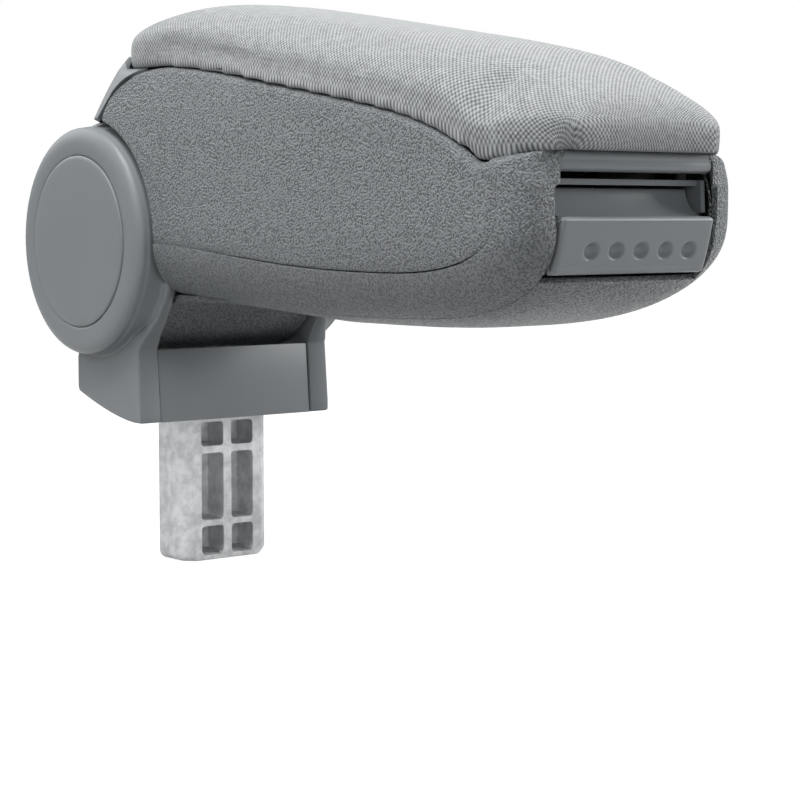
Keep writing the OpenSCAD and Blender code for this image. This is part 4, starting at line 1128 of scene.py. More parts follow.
    def cover_back(self) -> tuple[Array, Array, int]:
        """The half of the cover behind the lid: the sector round the drum, then the leaning wall.

        Returns:
            Its points by run and height, its quads without the hinge slot, and how many rows the
            sector has up to the cover's low edge.
        """
        f = self.form
        slot_low, slot_high, slot_z = self.slot
        q = np.unique(np.concatenate([np.linspace(0, self.cover_split, 27), [slot_low, slot_high]]))
        top = self.cover_limit(q, True)
        share = np.linspace(0, 1, 12)
        below = np.concatenate([
            np.linspace(f.tangent_z, self.cover_low, 8)[:-1], np.linspace(self.cover_low, slot_z, 8)[:-1]])
        z = np.concatenate([
            np.broadcast_to(below[None], (len(q), len(below))),
            slot_z + (top[:, None] - slot_z) * share[None]], 1)
        wall = self.cover_place(*np.broadcast_arrays(q[:, None], z))
        angle = np.radians(np.linspace(self.cover_deg, math.degrees(f.lean), 26))[:-1]
        qq, aa = np.broadcast_arrays(q[:, None], angle[None])
        sector = np.stack([qq, f.cut_r * np.cos(aa), f.axis_z + f.cut_r * np.sin(aa)], -1)
        back = np.concatenate([sector, wall], 1)
        quads = np.array(grid_faces(*back.shape[:2]))
        col, row = quads[:, 0] // back.shape[1], quads[:, 0] % back.shape[1]
        beside = (q[col] > slot_low - 1e-6) & (q[col] < slot_high - 1e-6)
        in_slot = beside & (row >= back.shape[1] - len(share))
        return back, quads[~in_slot], len(angle) + 7

    def build_rear(self) -> None:
        """Makes the rear cover: the part behind the lid and its two corners, welded and given a wall."""
        back, quads, low_row = self.cover_back()
        runs = np.linspace(self.cover_split, 90, 400)
        height = self.cover_limit(runs, True) - self.cover_limit(runs, False)
        q = np.linspace(self.cover_split, runs[np.argmax(height < 0.6)], 48)
        low, high = self.cover_limit(q, False), self.cover_limit(q, True)
        last = back[-1, low_row:, 2]
        v = (last - last[0]) / (last[-1] - last[0])
        heights = low[:, None] + (high - low)[:, None] * v[None]
        side = self.cover_place(*np.broadcast_arrays(q[:, None], heights))
        side[0] = back[-1, low_row:]
        more = np.array(grid_faces(*side.shape[:2])) + back.shape[0] * back.shape[1]
        half = np.concatenate([back.reshape(-1, 3), side.reshape(-1, 3)])
        quads = np.concatenate([quads, more])
        other = quads[:, ::-1] + len(half)
        sheet, quads = weld(np.concatenate([half, mirrored(half)]), np.concatenate([quads, other]))
        inside = np.stack([0 * sheet[:, 0], np.clip(sheet[:, 1], -60, 0), np.full(len(sheet), 85.0)], -1)
        points, faces = thicken(sheet, quads, inside, 0.0, self.cover_wall)
        make_piece("rear_cover_skin", points, faces, Body.ARM, Slot.SMOOTH, ("rear_cover",), 0.35, 50)

    def build_hinge(self) -> None:
        """Makes the deck behind the tray and the four ears that hold the lid's pin."""
        head = arc(*self.pin, self.ear_r, -20, 200, 24)
        points, faces = prism(np.concatenate([head, [[-15.0, 141.0], [-3.0, 141.0]]]), self.ear_half, 0.3, 1)
        ears = [(points + np.array([x, 0, 0]), faces) for x in self.ear_x]
        points, faces = joined([prism(np.array(self.deck), self.deck_half, 0.3, 1), *ears])
        make_piece("hinge_deck", points, faces, Body.ARM, Slot.SMOOTH)


# Drum cheeks, post and tongue


@dataclass
class Post:
    """The fixed part above the tongue: drum cheeks with caps, and the cover between them."""

    axis_z: float = 77.2
    face: float = 59.3
    cap_r: float = 37.0
    cap_seat: float = 0.3
    drum_r: float = 49.0
    drop: float = 4.6
    pillow: float = 0.7
    flank_r: float = 52.0
    inner: float = 40.0
    bore_r: float = 30.0
    side: float = 50.0
    neck_side: float = 47.2
    hollow: float = 3.2
    edge_r: float = 1.3
    front: float = 36.0
    back: float = 16.0
    heel: float = 11.0
    draft: float = 0.08
    cover_wall: float = 2.5
    cover_sink: float = 0.6

    def foot(self, count: int = 14) -> Array:
        """Underside of the post in the side view: flat in front, then rising to the heel."""
        s = np.linspace(0, 1, count)
        return np.stack([-30 + (self.back + 30) * s, self.heel * s**1.5], -1)

    def block(self) -> Array:
        """The block's outline under the drum, from its front over the foot to its back."""
        ahead = [[-self.front + self.draft * 45, 45], [-self.front + self.draft * 1.2, 1.2],
                 [-self.front + 0.35, 0.35], [-self.front + 1.3, 0]]
        behind = [[self.back - 0.4, self.heel + 0.1], [self.back, self.heel + 1.0], [self.back, 45]]
        return np.concatenate([ahead, self.foot(), behind])

    def neck(self) -> Array:
        """The hollow line from the drum down to the block's front."""
        a = math.radians(20)
        start = [-52.8 * math.cos(a), self.axis_z - 52.8 * math.sin(a)]
        return np.array([start, [-49, 57.5], [-44.6, 48.6], [-40.3, 42.3], [-36.4, 36.6], [-33.6, 31.0]])

    def outline_r(self, angle: Array) -> Array:
        """The cheek's outline on rays from the drum's axis.

        Args:
            angle: the rays' angles.

        Returns:
            Distance to the furthest crossing with the block's edges, at least the flank's radius.
        """
        radius = np.full_like(angle, self.flank_r)
        d = np.stack([np.cos(angle), np.sin(angle)], -1)
        for path in (self.block(), self.neck()):
            path = path - [0, self.axis_z]
            for p, q in zip(path[:-1], path[1:]):
                e = q - p
                det = d[:, 0] * -e[1] + d[:, 1] * e[0]
                det = np.where(np.abs(det) < 1e-9, 1e-9, det)
                t = (p[0] * -e[1] + p[1] * e[0]) / det
                s = (d[:, 0] * p[1] - d[:, 1] * p[0]) / det
                radius = np.where((s >= -1e-6) & (s <= 1 + 1e-6) & (t > radius), t, radius)
        return radius

    def rim(self, count: int = 16) -> Array:
        """The pillowed rim: a quarter turn from the cap's seat to the drum's edge, as (r, X)."""
        a = np.linspace(0, math.pi / 2, count)
        r = self.cap_r + self.cap_seat + (self.drum_r - self.cap_r - self.cap_seat) * np.sin(a)
        x = self.face - self.pillow - self.drop + self.drop * np.cos(a) ** 0.6 + self.pillow * np.sin(2 * a)
        return np.stack([r, x], -1)

    def flank(self, r: Array) -> Array:
        """Height of the drum's flank over its radius: a steep drop, then the floor of the gap."""
        at = [self.drum_r, 49.3, 49.5, 49.8, 50.2, 51]
        fall = [5.3, 6.3, 7.8, 11, 14, 16]
        return np.interp(r, [*at, 52, 54.5], [*(self.face - d for d in fall), 41.5, 38])

    def build_cheek(self, word: str, sign: float) -> None:
        """Makes one cheek.

        On each ray the section runs over the rim, down the flank or onto the block's side
        through a hollow fillet, round its edge and back along the inner face.

        Args:
            word: the side's name.
            sign: the sign of X there.
        """
        corners = [
            196, 200, 205, 212, 220, 226, 230, 234, 239.3, 240.5, 245.1, 248.5, 281.5, 283.6, 286.3, 288,
            290, 300]
        even = np.linspace(0, 2 * math.pi, 361)[:-1]
        angle = np.unique(np.round(np.concatenate([even, np.radians(corners)]), 5))
        edge = self.outline_r(angle)
        plane = np.interp(np.degrees(angle), [224, 233], [self.neck_side, self.side])
        turn = np.linspace(0, math.pi / 2, 7)[None]
        inner_r = (edge - self.edge_r)[:, None]
        r = self.drum_r + (inner_r - self.drum_r) * (np.linspace(0, 1, 44)[None, 1:]) ** 1.6
        on_block = np.clip((edge[:, None] - self.flank_r) / 1.5, 0, 1)
        flank = self.flank(r)
        x = flank + on_block * (smooth_max(flank, plane[:, None], self.hollow) - flank)
        round_r = inner_r + self.edge_r * np.sin(turn)
        round_x = x[:, -1:] - self.edge_r + self.edge_r * np.cos(turn)
        outer = np.stack([
            np.concatenate([r, round_r[:, 1:], edge[:, None]], 1),
            np.concatenate([x, round_x[:, 1:], np.full_like(edge, self.inner + 0.5)[:, None]], 1)], -1)
        seat = [
            [self.bore_r, self.face - 3.1], [self.cap_r - 0.1, self.face - 3.1],
            [self.cap_r, self.face - 1.2]]
        fixed = np.concatenate([seat, self.rim()])
        fixed = np.broadcast_to(fixed[None], (len(angle), *fixed.shape))
        inner = np.stack([
            np.stack([edge - 0.5, np.full_like(edge, self.inner)], -1),
            np.full((len(angle), 2), [44.0, self.inner]),
            np.full((len(angle), 2), [self.bore_r, self.inner])], 1)
        loop = np.concatenate([fixed, outer, inner], 1)
        y = loop[..., 0] * np.cos(angle)[:, None]
        z = self.axis_z + loop[..., 0] * np.sin(angle)[:, None]
        points = np.stack([sign * loop[..., 1], y, z], -1)
        faces = grid_faces(*points.shape[:2], wrap_rows=True, wrap_cols=True)
        make_piece(f"cheek_{word}_moulding", points, faces, Body.POST, Slot.SMOOTH, (f"cheek_{word}",))

    def build_cap(self, word: str, sign: float) -> None:
        """Makes one cap, a faintly domed disc with a rolled edge, by revolving its section.

        Args:
            word: the side's name.
            sign: the sign of X there.
        """
        r = np.array([4, 8, 16, 24, 31, 35, 36.2, 36.7, 36.9, 36.9, 36.4, 30, 10])
        dome = [0.3, 0.29, 0.26, 0.2, 0.08, -0.02, -0.12, -0.35, -0.75, -2.2, -2.45, -2.5, -2.5]
        x = np.array(dome) + self.face
        a = np.linspace(0, 2 * math.pi, 181)[:-1]
        rings = np.stack([
            np.broadcast_to(sign * x, (len(a), len(x))), np.cos(a)[:, None] * r,
            self.axis_z + np.sin(a)[:, None] * r], -1)
        rows, cols = rings.shape[:2]
        ends = np.array([
            [sign * (self.face + 0.31), 0, self.axis_z], [sign * (self.face - 2.5), 0, self.axis_z]])
        first = np.arange(rows) * cols
        after = np.roll(first, -1)
        faces = grid_faces(rows, cols, wrap_rows=True)
        faces += np.stack([np.full(rows, rows * cols), after, first], -1).tolist()
        faces += np.stack([np.full(rows, rows * cols + 1), first + cols - 1, after + cols - 1], -1).tolist()
        points = np.concatenate([rings.reshape(-1, 3), ends])
        make_piece(f"cap_{word}_disc", points, faces, Body.POST, Slot.SMOOTH, (f"cap_{word}",))

    def build_cover(self) -> None:
        """Makes the moulding between the cheeks: front panel, floor and rear wall carried along X."""
        w, f = self.cover_wall, self.front - self.cover_sink
        foot = self.foot()
        outer = np.concatenate([[[-f + self.draft * 31, 31], [-f, 0.0]], foot, [[self.back, 20]]])
        floor = foot[::-1] * [0.94, 1] + [-0.6, w]
        inner = np.concatenate([[[self.back - w, 20]], floor, [[-f + w, w], [-f + w + self.draft * 31, 31]]])
        points, faces = prism(np.concatenate([outer, inner]), self.inner - 0.4, 0.5, 3)
        make_piece("post_cover_panel", points, faces, Body.POST, Slot.SMOOTH, ("post_cover",), 0.35)


@dataclass
class Tongue:
    """The cast tongue: a chamfered blade with six pockets in its front face, and its shoulder."""

    half: float = 23.6
    front: float = 27.2
    depth: float = 24.4
    chamfer: float = 5.3
    length: float = 63.6
    tip: float = 4.0
    pocket_w: float = 11.6
    pocket_r: float = 1.7
    rib: float = 4.2
    deep: float = 11.0
    rows: tuple = ((-12.9, -2.2), (-45.8, -16.0), (-60.8, -48.5))
    steps: tuple = (-1.2, -0.95, -0.7, -0.45, -0.25, -0.1, 0.05, 0.4)
    shoulder: tuple = ((-31.0, 0.0), (4.0, 0.0), (4.0, 6.0), (-31.0, 6.0))
    shoulder_half: float = 29.6

    @property
    def pocket_x(self) -> float:
        """X of the middle of a pocket."""
        return (self.pocket_w + self.rib) / 2

    def pocket_depth(self, x: Array, z: Array) -> Array:
        """Depth of the pockets: 0 outside, falling over a drafted wall inside rounded rectangles.

        Args:
            x: places across the blade.
            z: their heights.

        Returns:
            The depth at each place.
        """
        total = np.zeros(np.broadcast(x, z).shape)
        r = self.pocket_r
        for z0, z1 in self.rows:
            hx, hz = self.pocket_w / 2, (z1 - z0) / 2
            qx, qz = np.abs(np.abs(x) - self.pocket_x) - hx + r, np.abs(z - (z0 + z1) / 2) - hz + r
            far = np.hypot(np.clip(qx, 0, None), np.clip(qz, 0, None)) + np.minimum(np.maximum(qx, qz), 0) - r
            wall = smooth_step(np.clip(-far / 0.9, 0, 1))
            total = np.maximum(total, self.deep * (0.12 * np.clip(-far / 0.25, 0, 1) + 0.88 * wall))
        return total

    def section(self) -> Array:
        """The blade's octagon as (x, y), with more points where the pockets' walls are."""
        flat = self.half - self.chamfer
        y0, y1 = -self.front, -self.front + self.depth
        steps = np.array(self.steps)
        walls = [(s, side) for s in (-1, 1) for side in (-1, 1)]
        cuts = [s * (self.pocket_x + side * self.pocket_w / 2) + s * side * steps for s, side in walls]
        x = np.unique(np.round(np.concatenate([np.linspace(-flat, flat, 26), *cuts]), 3))
        x = x[np.abs(x) <= flat]
        corners = [
            (flat, y0), (self.half, y0 + self.chamfer), (self.half, y1 - self.chamfer), (flat, y1),
            (-flat, y1), (-self.half, y1 - self.chamfer), (-self.half, y0 + self.chamfer), (-flat, y0)]
        edges = [np.linspace(a, b, 9)[1:] for a, b in zip(corners[:-1], corners[1:])]
        return np.concatenate([np.stack([x, np.full_like(x, y0)], -1), *edges])[:-1]

    def build(self) -> None:
        """Makes the blade as one sheet round its section, with its front pressed in at the pockets.

        Rows run down from inside the post to the tip, whose side corners are rounded.
        """
        section = self.section()
        y0, tip_z = -self.front, self.tip - self.length
        levels = [np.linspace(tip_z, 0, 50)]
        for z0, z1 in self.rows:
            levels += [z0 - np.array(self.steps), z1 + np.array(self.steps)]
        z = np.unique(np.round(np.concatenate(levels), 3))
        z = z[(z >= tip_z) & (z <= 0)]
        a = np.linspace(0, math.pi / 2, 8)[1:]
        tip = tip_z - self.tip * np.sin(a)
        z = np.concatenate([[12.0], [6.0], z[::-1], tip])
        draw = np.concatenate([np.zeros(len(z) - len(tip)), self.tip * (1 - np.cos(a))])
        x = section[None, :, 0] * (1 - draw[:, None] / self.half)
        mid = y0 + self.depth / 2
        y = mid + (section[None, :, 1] - mid) * (1 - np.clip(draw[:, None] - 2.4, 0, None) * 0.06)
        zz = np.broadcast_to(z[:, None], x.shape)
        on_front = np.abs(section[:, 1] - y0) < 1e-6
        y = y + np.where(on_front[None], self.pocket_depth(x, zz), 0)
        blade = np.stack([x, y, zz], -1)
        rows, cols = blade.shape[:2]
        faces = grid_faces(rows, cols, wrap_cols=True) + end_faces(rows, cols)
        points, faces = joined([(blade, faces), prism(np.array(self.shoulder), self.shoulder_half, 0.6, 2)])
        make_piece("tongue_casting", points, faces, Body.POST, Slot.CAST, ("tongue",), 0.5, 30)


# Front


@dataclass
class Front:
    """The latch handle and the grip strip in the opening between the shoulders."""

    latch_y: float = -268.5
    pad_low: float = 68.2
    pad_top: float = 88.0
    pad_half: float = 37.2
    pad_foot_r: float = 2.4
    pad_lip_r: float = 1.7
    pad_end_r: float = 1.6
    scoop_half: float = 35.6
    scoop_r: float = 10.5
    scoop_wall: float = 2.2
    dimple_x: tuple = (-21.6, -9.6, 2.4, 14.4, 26.4)
    dimple_r: float = 3.9
    dimple_deep: float = 2.1
    strip_y: float = -279.4
    strip_half: float = 37.8
    strip_r: float = 2.2
    strip_rise: float = 0.7

    def pad_front(self, z: Array) -> Array:
        """The pad's front face, leaning out to its top."""
        f = np.clip((z - self.pad_low) / (self.pad_top - self.pad_low), 0, 1)
        return self.latch_y - 6 - 6.6 * f**0.6

    def build_pad(self) -> None:
        """Makes the dimpled pad: its section carried along X with rounded ends, and balls pressed in."""
        z = np.linspace(self.pad_low + 2.5, self.pad_top - 1.8, 46)
        face = np.stack([self.pad_front(z), z], -1)[::-1]
        foot_z = self.pad_low + self.pad_foot_r
        foot = arc(self.pad_front(foot_z) + self.pad_foot_r, foot_z, self.pad_foot_r, 185, 270, 8)
        lip_y, lip_z = self.pad_front(self.pad_top) + 1.9, self.pad_top - self.pad_lip_r
        lip = arc(lip_y, lip_z, self.pad_lip_r, 90, 172, 9)
        back = np.array([[self.latch_y - 3.4, self.pad_low], [self.latch_y - 3.4, self.pad_top - 0.4]])
        flat = self.pad_half - self.pad_end_r
        stations = [x + np.linspace(-4.6, 4.6, 15) for x in self.dimple_x]
        xs = np.unique(np.concatenate([np.linspace(-flat, flat, 60), *stations]))
        points, faces = prism(np.concatenate([lip, face, foot, back]), self.pad_half, self.pad_end_r, 6, xs)
        mid = (self.pad_low + self.pad_top) / 2 - 1.8
        for x in self.dimple_x:
            far = np.hypot(points[..., 0] - x, 1.15 * (points[..., 2] - mid)) / self.dimple_r
            cup = self.dimple_deep * smooth_step(np.clip(1 - far**2, 0, None))
            points[..., 1] += np.where(points[..., 1] < self.latch_y - 4, cup, 0)
        make_piece("latch_pad", points, faces, Body.LATCH, Slot.SMOOTH, ("latch_handle",))

    def build_scoop(self) -> None:
        """Makes the finger scoop above the pad, the web behind it and the hook, each carried along X; the
        hook is coloured dark as painted shade.
        """
        y, cy, cz, r = self.latch_y, self.latch_y - 10, self.pad_top + self.scoop_r, self.scoop_r
        edge, outer = cy + r, r + self.scoop_wall
        scoop = np.concatenate([
            arc(cy, cz, r, -96, -3, 26), [[edge, 97.9], [cy + outer, 97.9]], arc(cy, cz, outer, -3, -96, 26)])
        web = [
            [edge + 0.2, 94], [cy + outer, 94], [y + 2.4, 73], [y + 1, 69], [y - 4, 68.8], [y - 4, 72],
            [y - 0.6, 74]]
        hook = [
            [1.5, 90], [3.8, 91], [5.4, 96.5], [5.4, 103.8], [7.2, 103.8], [5.8, 105.4], [3.6, 105.4],
            [3.6, 97.4], [1.5, 97.4]]
        for name, profile, half, rounding, slot in (
            ("latch_scoop", scoop, self.scoop_half, (0.5, 3), Slot.SMOOTH),
            ("latch_web", np.array(web), self.scoop_half, (0.5, 3), Slot.SMOOTH),
            # The hook belongs to the latch's smooth moulding, but takes the dark plastic finish as painted
            # shade so that it reads as the shadowed gap under the grip strip.
            ("latch_hook_painted_dark", np.array(hook) + [edge, 0], 6, (0.4, 2), Slot.DARK),
        ):
            points, faces = prism(profile, half, *rounding)
            make_piece(name, points, faces, Body.LATCH, slot)

    def build_strip(self, form: ArmForm) -> None:
        """Makes the lid's grip strip: a rounded bar with a fine step along its front, carried along X.

        Args:
            form: the arm's surface, whose parting line gives the strip's top.
        """
        y, r = self.strip_y, self.strip_r
        top, back_top = (float(form.part(np.array(at))) + self.strip_rise for at in (y, y + 9))
        section = np.concatenate([
            [[y + 9, 103.4], [y + 9, back_top], [y + 2.6, top]],
            arc(y + r, top - r, r, 90, 168, 7),
            [[y + 0.02, 107.8], [y + 0.45, 107.4], [y + 0.3, 106.9]],
            arc(y + 2.5, 105.6, r, 180, 270, 7)])
        points, faces = prism(section, self.strip_half, 1.6, 6)
        make_piece("grip_strip_bar", points, faces, Body.LID, Slot.SMOOTH, ("grip_strip",))


# Lid pad


@dataclass
class LidPad:
    """The padded lid: a crowned closed form under woven cloth, swelled by a short simulation."""

    form: ArmForm = field(default_factory=ArmForm)
    lift: float = -0.9
    band: float = 7.9
    rear: float = -16.6
    front: float = -284.6
    crown_h: float = 24.5
    round_x: float = 2.4
    round_z: float = 0.85
    shrink: float = 0.25
    voxel_mm: float = 2.4
    cap_mm: float = 3.0
    pressure: float = 4.0
    mass: float = 0.3
    stiffness: float = 30.0
    frames: int = 20
    recess_mm: float = 2.7
    recess_from: float = 3.4
    recess_run: float = 2.4
    fill: float = 0.85

    def half(self, y: Array) -> Array:
        """Half width of the lid in plan."""
        return self.form.lid_edge(y)

    def foot(self, y: Array) -> Array:
        """Height of the pad's underside."""
        return self.form.part(y) + self.lift

    def crown(self, y: Array) -> Array:
        """Height of the pad's crest above its foot."""
        f = self.form.deep(-y - 200, 83.0, 3) ** 1.35
        rear = np.sqrt(1 - np.clip((y + 76) / 60, 0, 1) ** 2.5)
        high = self.form.line(y) + self.crown_h - self.form.part(y) - self.lift - self.band
        return self.band + high * f * rear

    def grid(self, inset: float) -> Array:
        """Closed rings round the pad's section at each station.

        Args:
            inset: how far they are drawn in.

        Returns:
            The (x, y, z) points ring by ring.
        """
        u = np.linspace(0, 1, 84)
        g = 0.3 * u + 0.7 * (1 - np.cos(math.pi * u)) / 2
        y = (self.rear - inset) + (self.front - self.rear + 2 * inset) * g
        a = np.linspace(0, math.pi, 73)
        w, h, foot = self.half(y) - inset, self.crown(y) - inset, self.foot(y)
        cosa, sina = np.cos(a), np.sin(a)
        x = w[:, None] * np.sign(cosa) * np.abs(cosa) ** (2 / self.round_x)
        edge = self.band - 0.5
        top = foot[:, None] + edge + (h - edge)[:, None] * sina**self.round_z
        under_x = w[:, None] * np.linspace(-1, 1, 27)[None, 1:-1]
        floor = np.broadcast_to(foot[:, None], under_x.shape)
        ring_x = np.concatenate([x, 0.5 - w[:, None], under_x, w[:, None] - 0.5], 1)
        ring_z = np.concatenate([top, foot[:, None], floor, foot[:, None]], 1)
        ring_y = np.broadcast_to(y[:, None], ring_x.shape)
        return np.stack([ring_x, ring_y, ring_z], -1)

    def build(self) -> None:
        """Makes the pad, swells its cloth, keeps its foot flat and gives it weave coordinates."""
        rings = self.grid(self.shrink)
        rows, cols = rings.shape[:2]
        faces = grid_faces(rows, cols, wrap_cols=True) + end_faces(rows, cols)
        pad = make_piece("lid_pad_cloth", rings, faces, Body.LID, Slot.FABRIC, ("lid_cushion",))
        self.swell(pad)
        self.recess(pad)
        self.weave(pad)
        fine = pad.modifiers.new("fine", "SUBSURF")
        fine.levels = fine.render_levels = 1

    def remesh(self, pad: bpy.types.Object) -> bpy.types.Mesh:
        """Gives the pad an even mesh.

        Args:
            pad: the pad.

        Returns:
            Its new mesh.
        """
        remesh = pad.modifiers.new("even", "REMESH")
        remesh.mode = "VOXEL"
        remesh.voxel_size = self.voxel_mm * MM
        remesh.use_smooth_shade = True
        graph = bpy.context.evaluated_depsgraph_get()
        even = bpy.data.meshes.new_from_object(pad.evaluated_get(graph))
        pad.modifiers.clear()
        old, pad.data = pad.data, even
        bpy.data.meshes.remove(old)
        return even

    def swell(self, pad: bpy.types.Object) -> None:
        """Remeshes the pad and lets air pressure round it, with each point held near its start.

        Args:
            pad: the pad.
        """
        scene = bpy.context.scene
        even = self.remesh(pad)
        start = read_points(even)
        cloth = pad.modifiers.new("cloth", "CLOTH")
        cloth.settings.use_pressure = True
        cloth.settings.uniform_pressure_force = self.pressure
        cloth.settings.mass = self.mass
        cloth.settings.tension_stiffness = self.stiffness
        cloth.settings.compression_stiffness = self.stiffness
        cloth.settings.shear_stiffness = self.stiffness / 2
        cloth.settings.bending_stiffness = 1.0
        cloth.settings.effector_weights.gravity = 0.0
        for step in range(1, self.frames + 1):
            scene.frame_set(step)
        moved = read_points(pad.evaluated_get(bpy.context.evaluated_depsgraph_get()).data)
        pad.modifiers.clear()
        scene.frame_set(1)
        shift = moved - start
        size = np.linalg.norm(shift, axis=1, keepdims=True)
        shift *= np.minimum(1, self.cap_mm * MM / np.maximum(size, 1e-9))
        y, z = start[:, 1] / MM, start[:, 2] / MM
        rise = np.clip((z - self.form.part(y) - self.lift) / 7.0, 0, 1)
        even.vertices.foreach_set("co", (start + shift * rise[:, None]).ravel())
        even.update()

    def recess(self, pad: bpy.types.Object) -> None:
        """Lifts the underside inside the cloth's turned edge, so that the lid's board shows there.

        Args:
            pad: the pad.
        """
        mesh = pad.data
        at = read_points(mesh)
        x, y, z = (at / MM).T
        beside = self.half(y) - self.shrink - np.abs(x)
        ends = np.minimum(self.rear - self.shrink - y, y - self.front - self.shrink)
        deep = np.clip((np.minimum(beside, ends) - self.recess_from) / self.recess_run, 0, 1)
        under = z < self.form.part(y) + self.lift + 1.6
        at[:, 2] += self.recess_mm * MM * deep * under
        mesh.vertices.foreach_set("co", at.ravel())
        mesh.update()

    def weave(self, pad: bpy.types.Object) -> None:
        """Lays weave coordinates on the cloth: millimetres run across over the crown, and along it.

        The run over the crown is read from one reference section by the turn round the pad's
        middle. On the front face the run along it goes on down the drop from the crest.

        Args:
            pad: the pad.
        """
        mesh = pad.data
        x, y, z = (read_points(mesh) / MM).T
        w, foot, h = self.half(y), self.foot(y), self.crown(y)
        lift = np.clip(z - foot, 0, None) / np.maximum(h, 1)
        side = np.clip(np.abs(x) / np.maximum(w, 1), 0, 1)
        edge = self.band - 0.5
        arch = np.clip(1 - side**self.round_x, 0, 1) ** (self.round_z / 2)
        crest = (edge + (h - edge) * arch) / np.maximum(h, 1)
        face = np.clip((self.front + 4.5 - y) / 2, 0, 1)
        drop = np.clip(crest - lift, 0, None) * h * face
        turn = np.arctan2(lift + (crest - lift) * face, side)
        a = np.linspace(0, math.pi / 2, 60)
        ref_x = 52 * np.abs(np.cos(a)) ** (2 / self.round_x)
        ref_z = 3.5 + 18 * np.sin(a) ** self.round_z
        run = np.concatenate([[0], np.cumsum(np.hypot(np.diff(ref_x), np.diff(ref_z)))])
        over = run[-1] - np.interp(turn, np.arctan2(ref_z / 21.5, ref_x / 52), run)
        ys = np.linspace(-290, 0, 300)
        ridge = self.form.part(ys) + self.crown(ys)
        length = np.concatenate([[0], np.cumsum(np.hypot(np.diff(ys), np.diff(ridge)))])
        uv = np.stack([np.sign(x) * over, np.interp(y, ys, length) - drop], -1)
        layer = mesh.uv_layers.new(name="weave")
        loops = np.zeros(len(mesh.loops), int)
        mesh.loops.foreach_get("vertex_index", loops)
        layer.data.foreach_set("uv", uv[loops].ravel())


# Studio


@dataclass(frozen=True)
class Lamp:
    """One square soft lamp."""

    name: str
    place: tuple
    size: float
    power: float


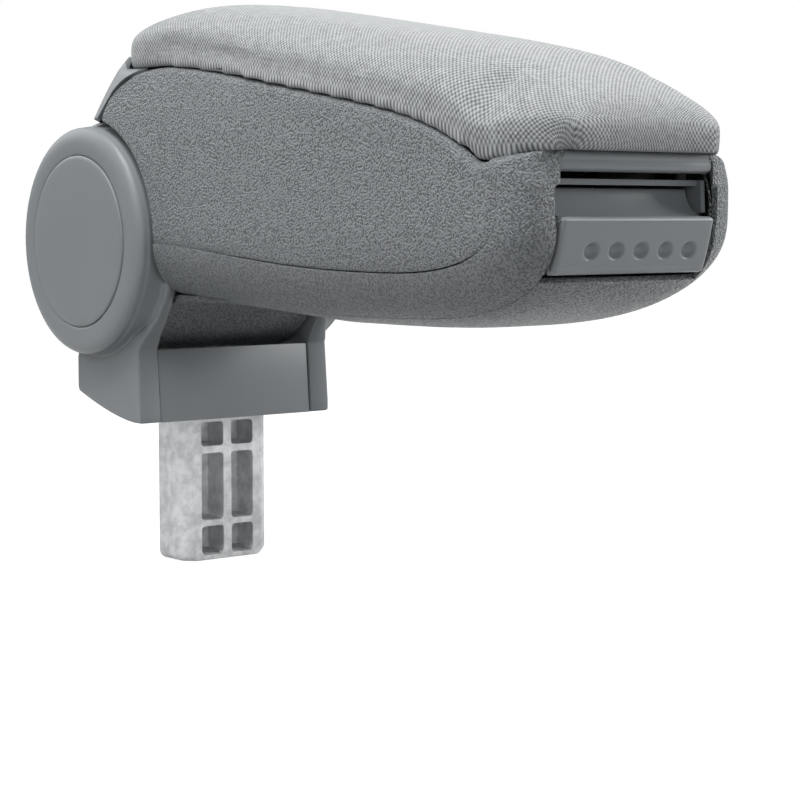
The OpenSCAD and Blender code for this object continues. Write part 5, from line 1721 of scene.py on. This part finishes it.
@dataclass
class Studio:
    """The pale floor, the soft lamps and the camera."""

    floor_z: float = -0.0638
    floor_half: float = 6.0
    floor_glow: float = 1.3
    floor_share: float = 0.72
    focus: tuple = (0.0, -0.12, 0.06)
    lamps: tuple = (
        Lamp("key", (-0.4, -0.2, 1.25), 0.8, 17.0),
        Lamp("left", (-1.3, -0.2, 0.8), 0.5, 4.4),
        Lamp("front", (-0.3, -1.4, 0.5), 0.6, 2.0),
        Lamp("right", (1.05, -0.6, 0.55), 0.5, 11.0),
        Lamp("rear", (-0.4, 1.0, 0.7), 0.8, 4.0),
    )
    room: Colour = (0.97, 0.985, 1.0, 1)
    room_light: float = 0.34
    camera_place: tuple = (-0.52143, -0.78871, 0.08880)
    camera_turn: float = -39.166
    camera_rise: float = 5.0836
    camera_lens: float = 93.82

    def build(self) -> None:
        """Makes everything that isn't part of the object."""
        scene = bpy.context.scene
        scene.view_settings.view_transform = "Standard"
        self.floor()
        self.world(scene)
        for lamp in self.lamps:
            self.light(lamp)
        self.camera(scene)

    def floor(self) -> None:
        """Makes the floor, white to the camera but still dimmed a little by the object's shadow."""
        b = Board(bpy.data.materials.new("floor_white"))
        pale = b.node("ShaderNodeBsdfDiffuse", {}, {"Color": grey(0.9, 0.9, 0.9)})
        dim = b.node("ShaderNodeBsdfDiffuse", {}, {"Color": grey(0.2, 0.2, 0.2)})
        glow = b.node("ShaderNodeEmission", {}, {"Color": grey(1, 1, 1), "Strength": self.floor_glow})
        plain = b.node("ShaderNodeMixShader", {}, [b.ray("Is Diffuse Ray"), pale, dim])
        seen = b.ray("Is Camera Ray") * self.floor_share
        b.surface(b.node("ShaderNodeMixShader", {}, [seen, plain, glow]))
        mesh = bpy.data.meshes.new("floor")
        s, z = self.floor_half, self.floor_z
        mesh.from_pydata([(-s, -s, z), (s, -s, z), (s, s, z), (-s, s, z)], [], [(0, 1, 2, 3)])
        mesh.materials.append(b.owner)
        made = bpy.data.objects.new("floor", mesh)
        bpy.context.scene.collection.objects.link(made)

    def world(self, scene: bpy.types.Scene) -> None:
        """Lights the room evenly, and shows white to the camera."""
        scene.world = bpy.data.worlds.new("room")
        b = Board(scene.world)
        soft = b.node("ShaderNodeBackground", {}, {"Strength": self.room_light, "Color": self.room})
        white = b.node("ShaderNodeBackground", {}, {"Strength": 1.0, "Color": grey(1, 1, 1)})
        b.surface(b.node("ShaderNodeMixShader", {}, [b.ray("Is Camera Ray"), soft, white]))

    def light(self, lamp: Lamp) -> None:
        """Adds a lamp that faces the object.

        Args:
            lamp: its place, size and power.
        """
        data = bpy.data.lights.new(lamp.name, "AREA")
        data.size, data.energy = lamp.size, lamp.power
        made = bpy.data.objects.new(lamp.name, data)
        made.location = lamp.place
        aim = np.array(self.focus) - np.array(lamp.place)
        made.rotation_mode = "QUATERNION"
        made.rotation_quaternion = Vector(aim.tolist()).to_track_quat("-Z", "Y")
        bpy.context.scene.collection.objects.link(made)

    def camera(self, scene: bpy.types.Scene) -> None:
        """Places the camera as the photograph's was, from a fit to its edges.

        Args:
            scene: the scene that is seen through it.
        """
        a, e = math.radians(self.camera_turn), math.radians(self.camera_rise)
        back = Vector((math.sin(a) * math.cos(e), -math.cos(a) * math.cos(e), math.sin(e)))
        data = bpy.data.cameras.new("camera")
        data.sensor_width, data.lens = 36.0, self.camera_lens
        made = bpy.data.objects.new("camera", data)
        made.location = self.camera_place
        made.rotation_mode = "QUATERNION"
        made.rotation_quaternion = (-back).to_track_quat("-Z", "Y")
        scene.collection.objects.link(made)
        scene.camera = made


def dress_solids() -> None:
    """Gives every CAD node that stays in sight the finish of its slot."""
    slots = {part["node"]: part["material_slot"] for part in frame["record"]["subparts"]}
    for name, node in frame["nodes"].items():
        material = bpy.data.materials[slots[name]]
        for place in node.material_slots:
            place.material = material
        if not node.material_slots:
            node.data.materials.append(material)


def main() -> None:
    """Builds every piece in order."""
    logging.basicConfig(level=logging.INFO, format="%(name)s %(message)s")
    for old in list(bpy.data.materials):
        old.name = f"solid_{old.name}"
    for finish in FINISHES:
        finish.build()
    dress_solids()
    skin = ArmSkin()
    for word, sign in sides():
        skin.build_side(word, sign)
    skin.build_belly()
    skin.build_rear()
    skin.build_hinge()
    post = Post()
    for word, sign in sides():
        post.build_cheek(word, sign)
        post.build_cap(word, sign)
    post.build_cover()
    Tongue().build()
    front = Front()
    front.build_pad()
    front.build_scoop()
    front.build_strip(skin.form)
    LidPad().build()
    Studio().build()
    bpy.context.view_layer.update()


if __name__ == "__main__":
    main()
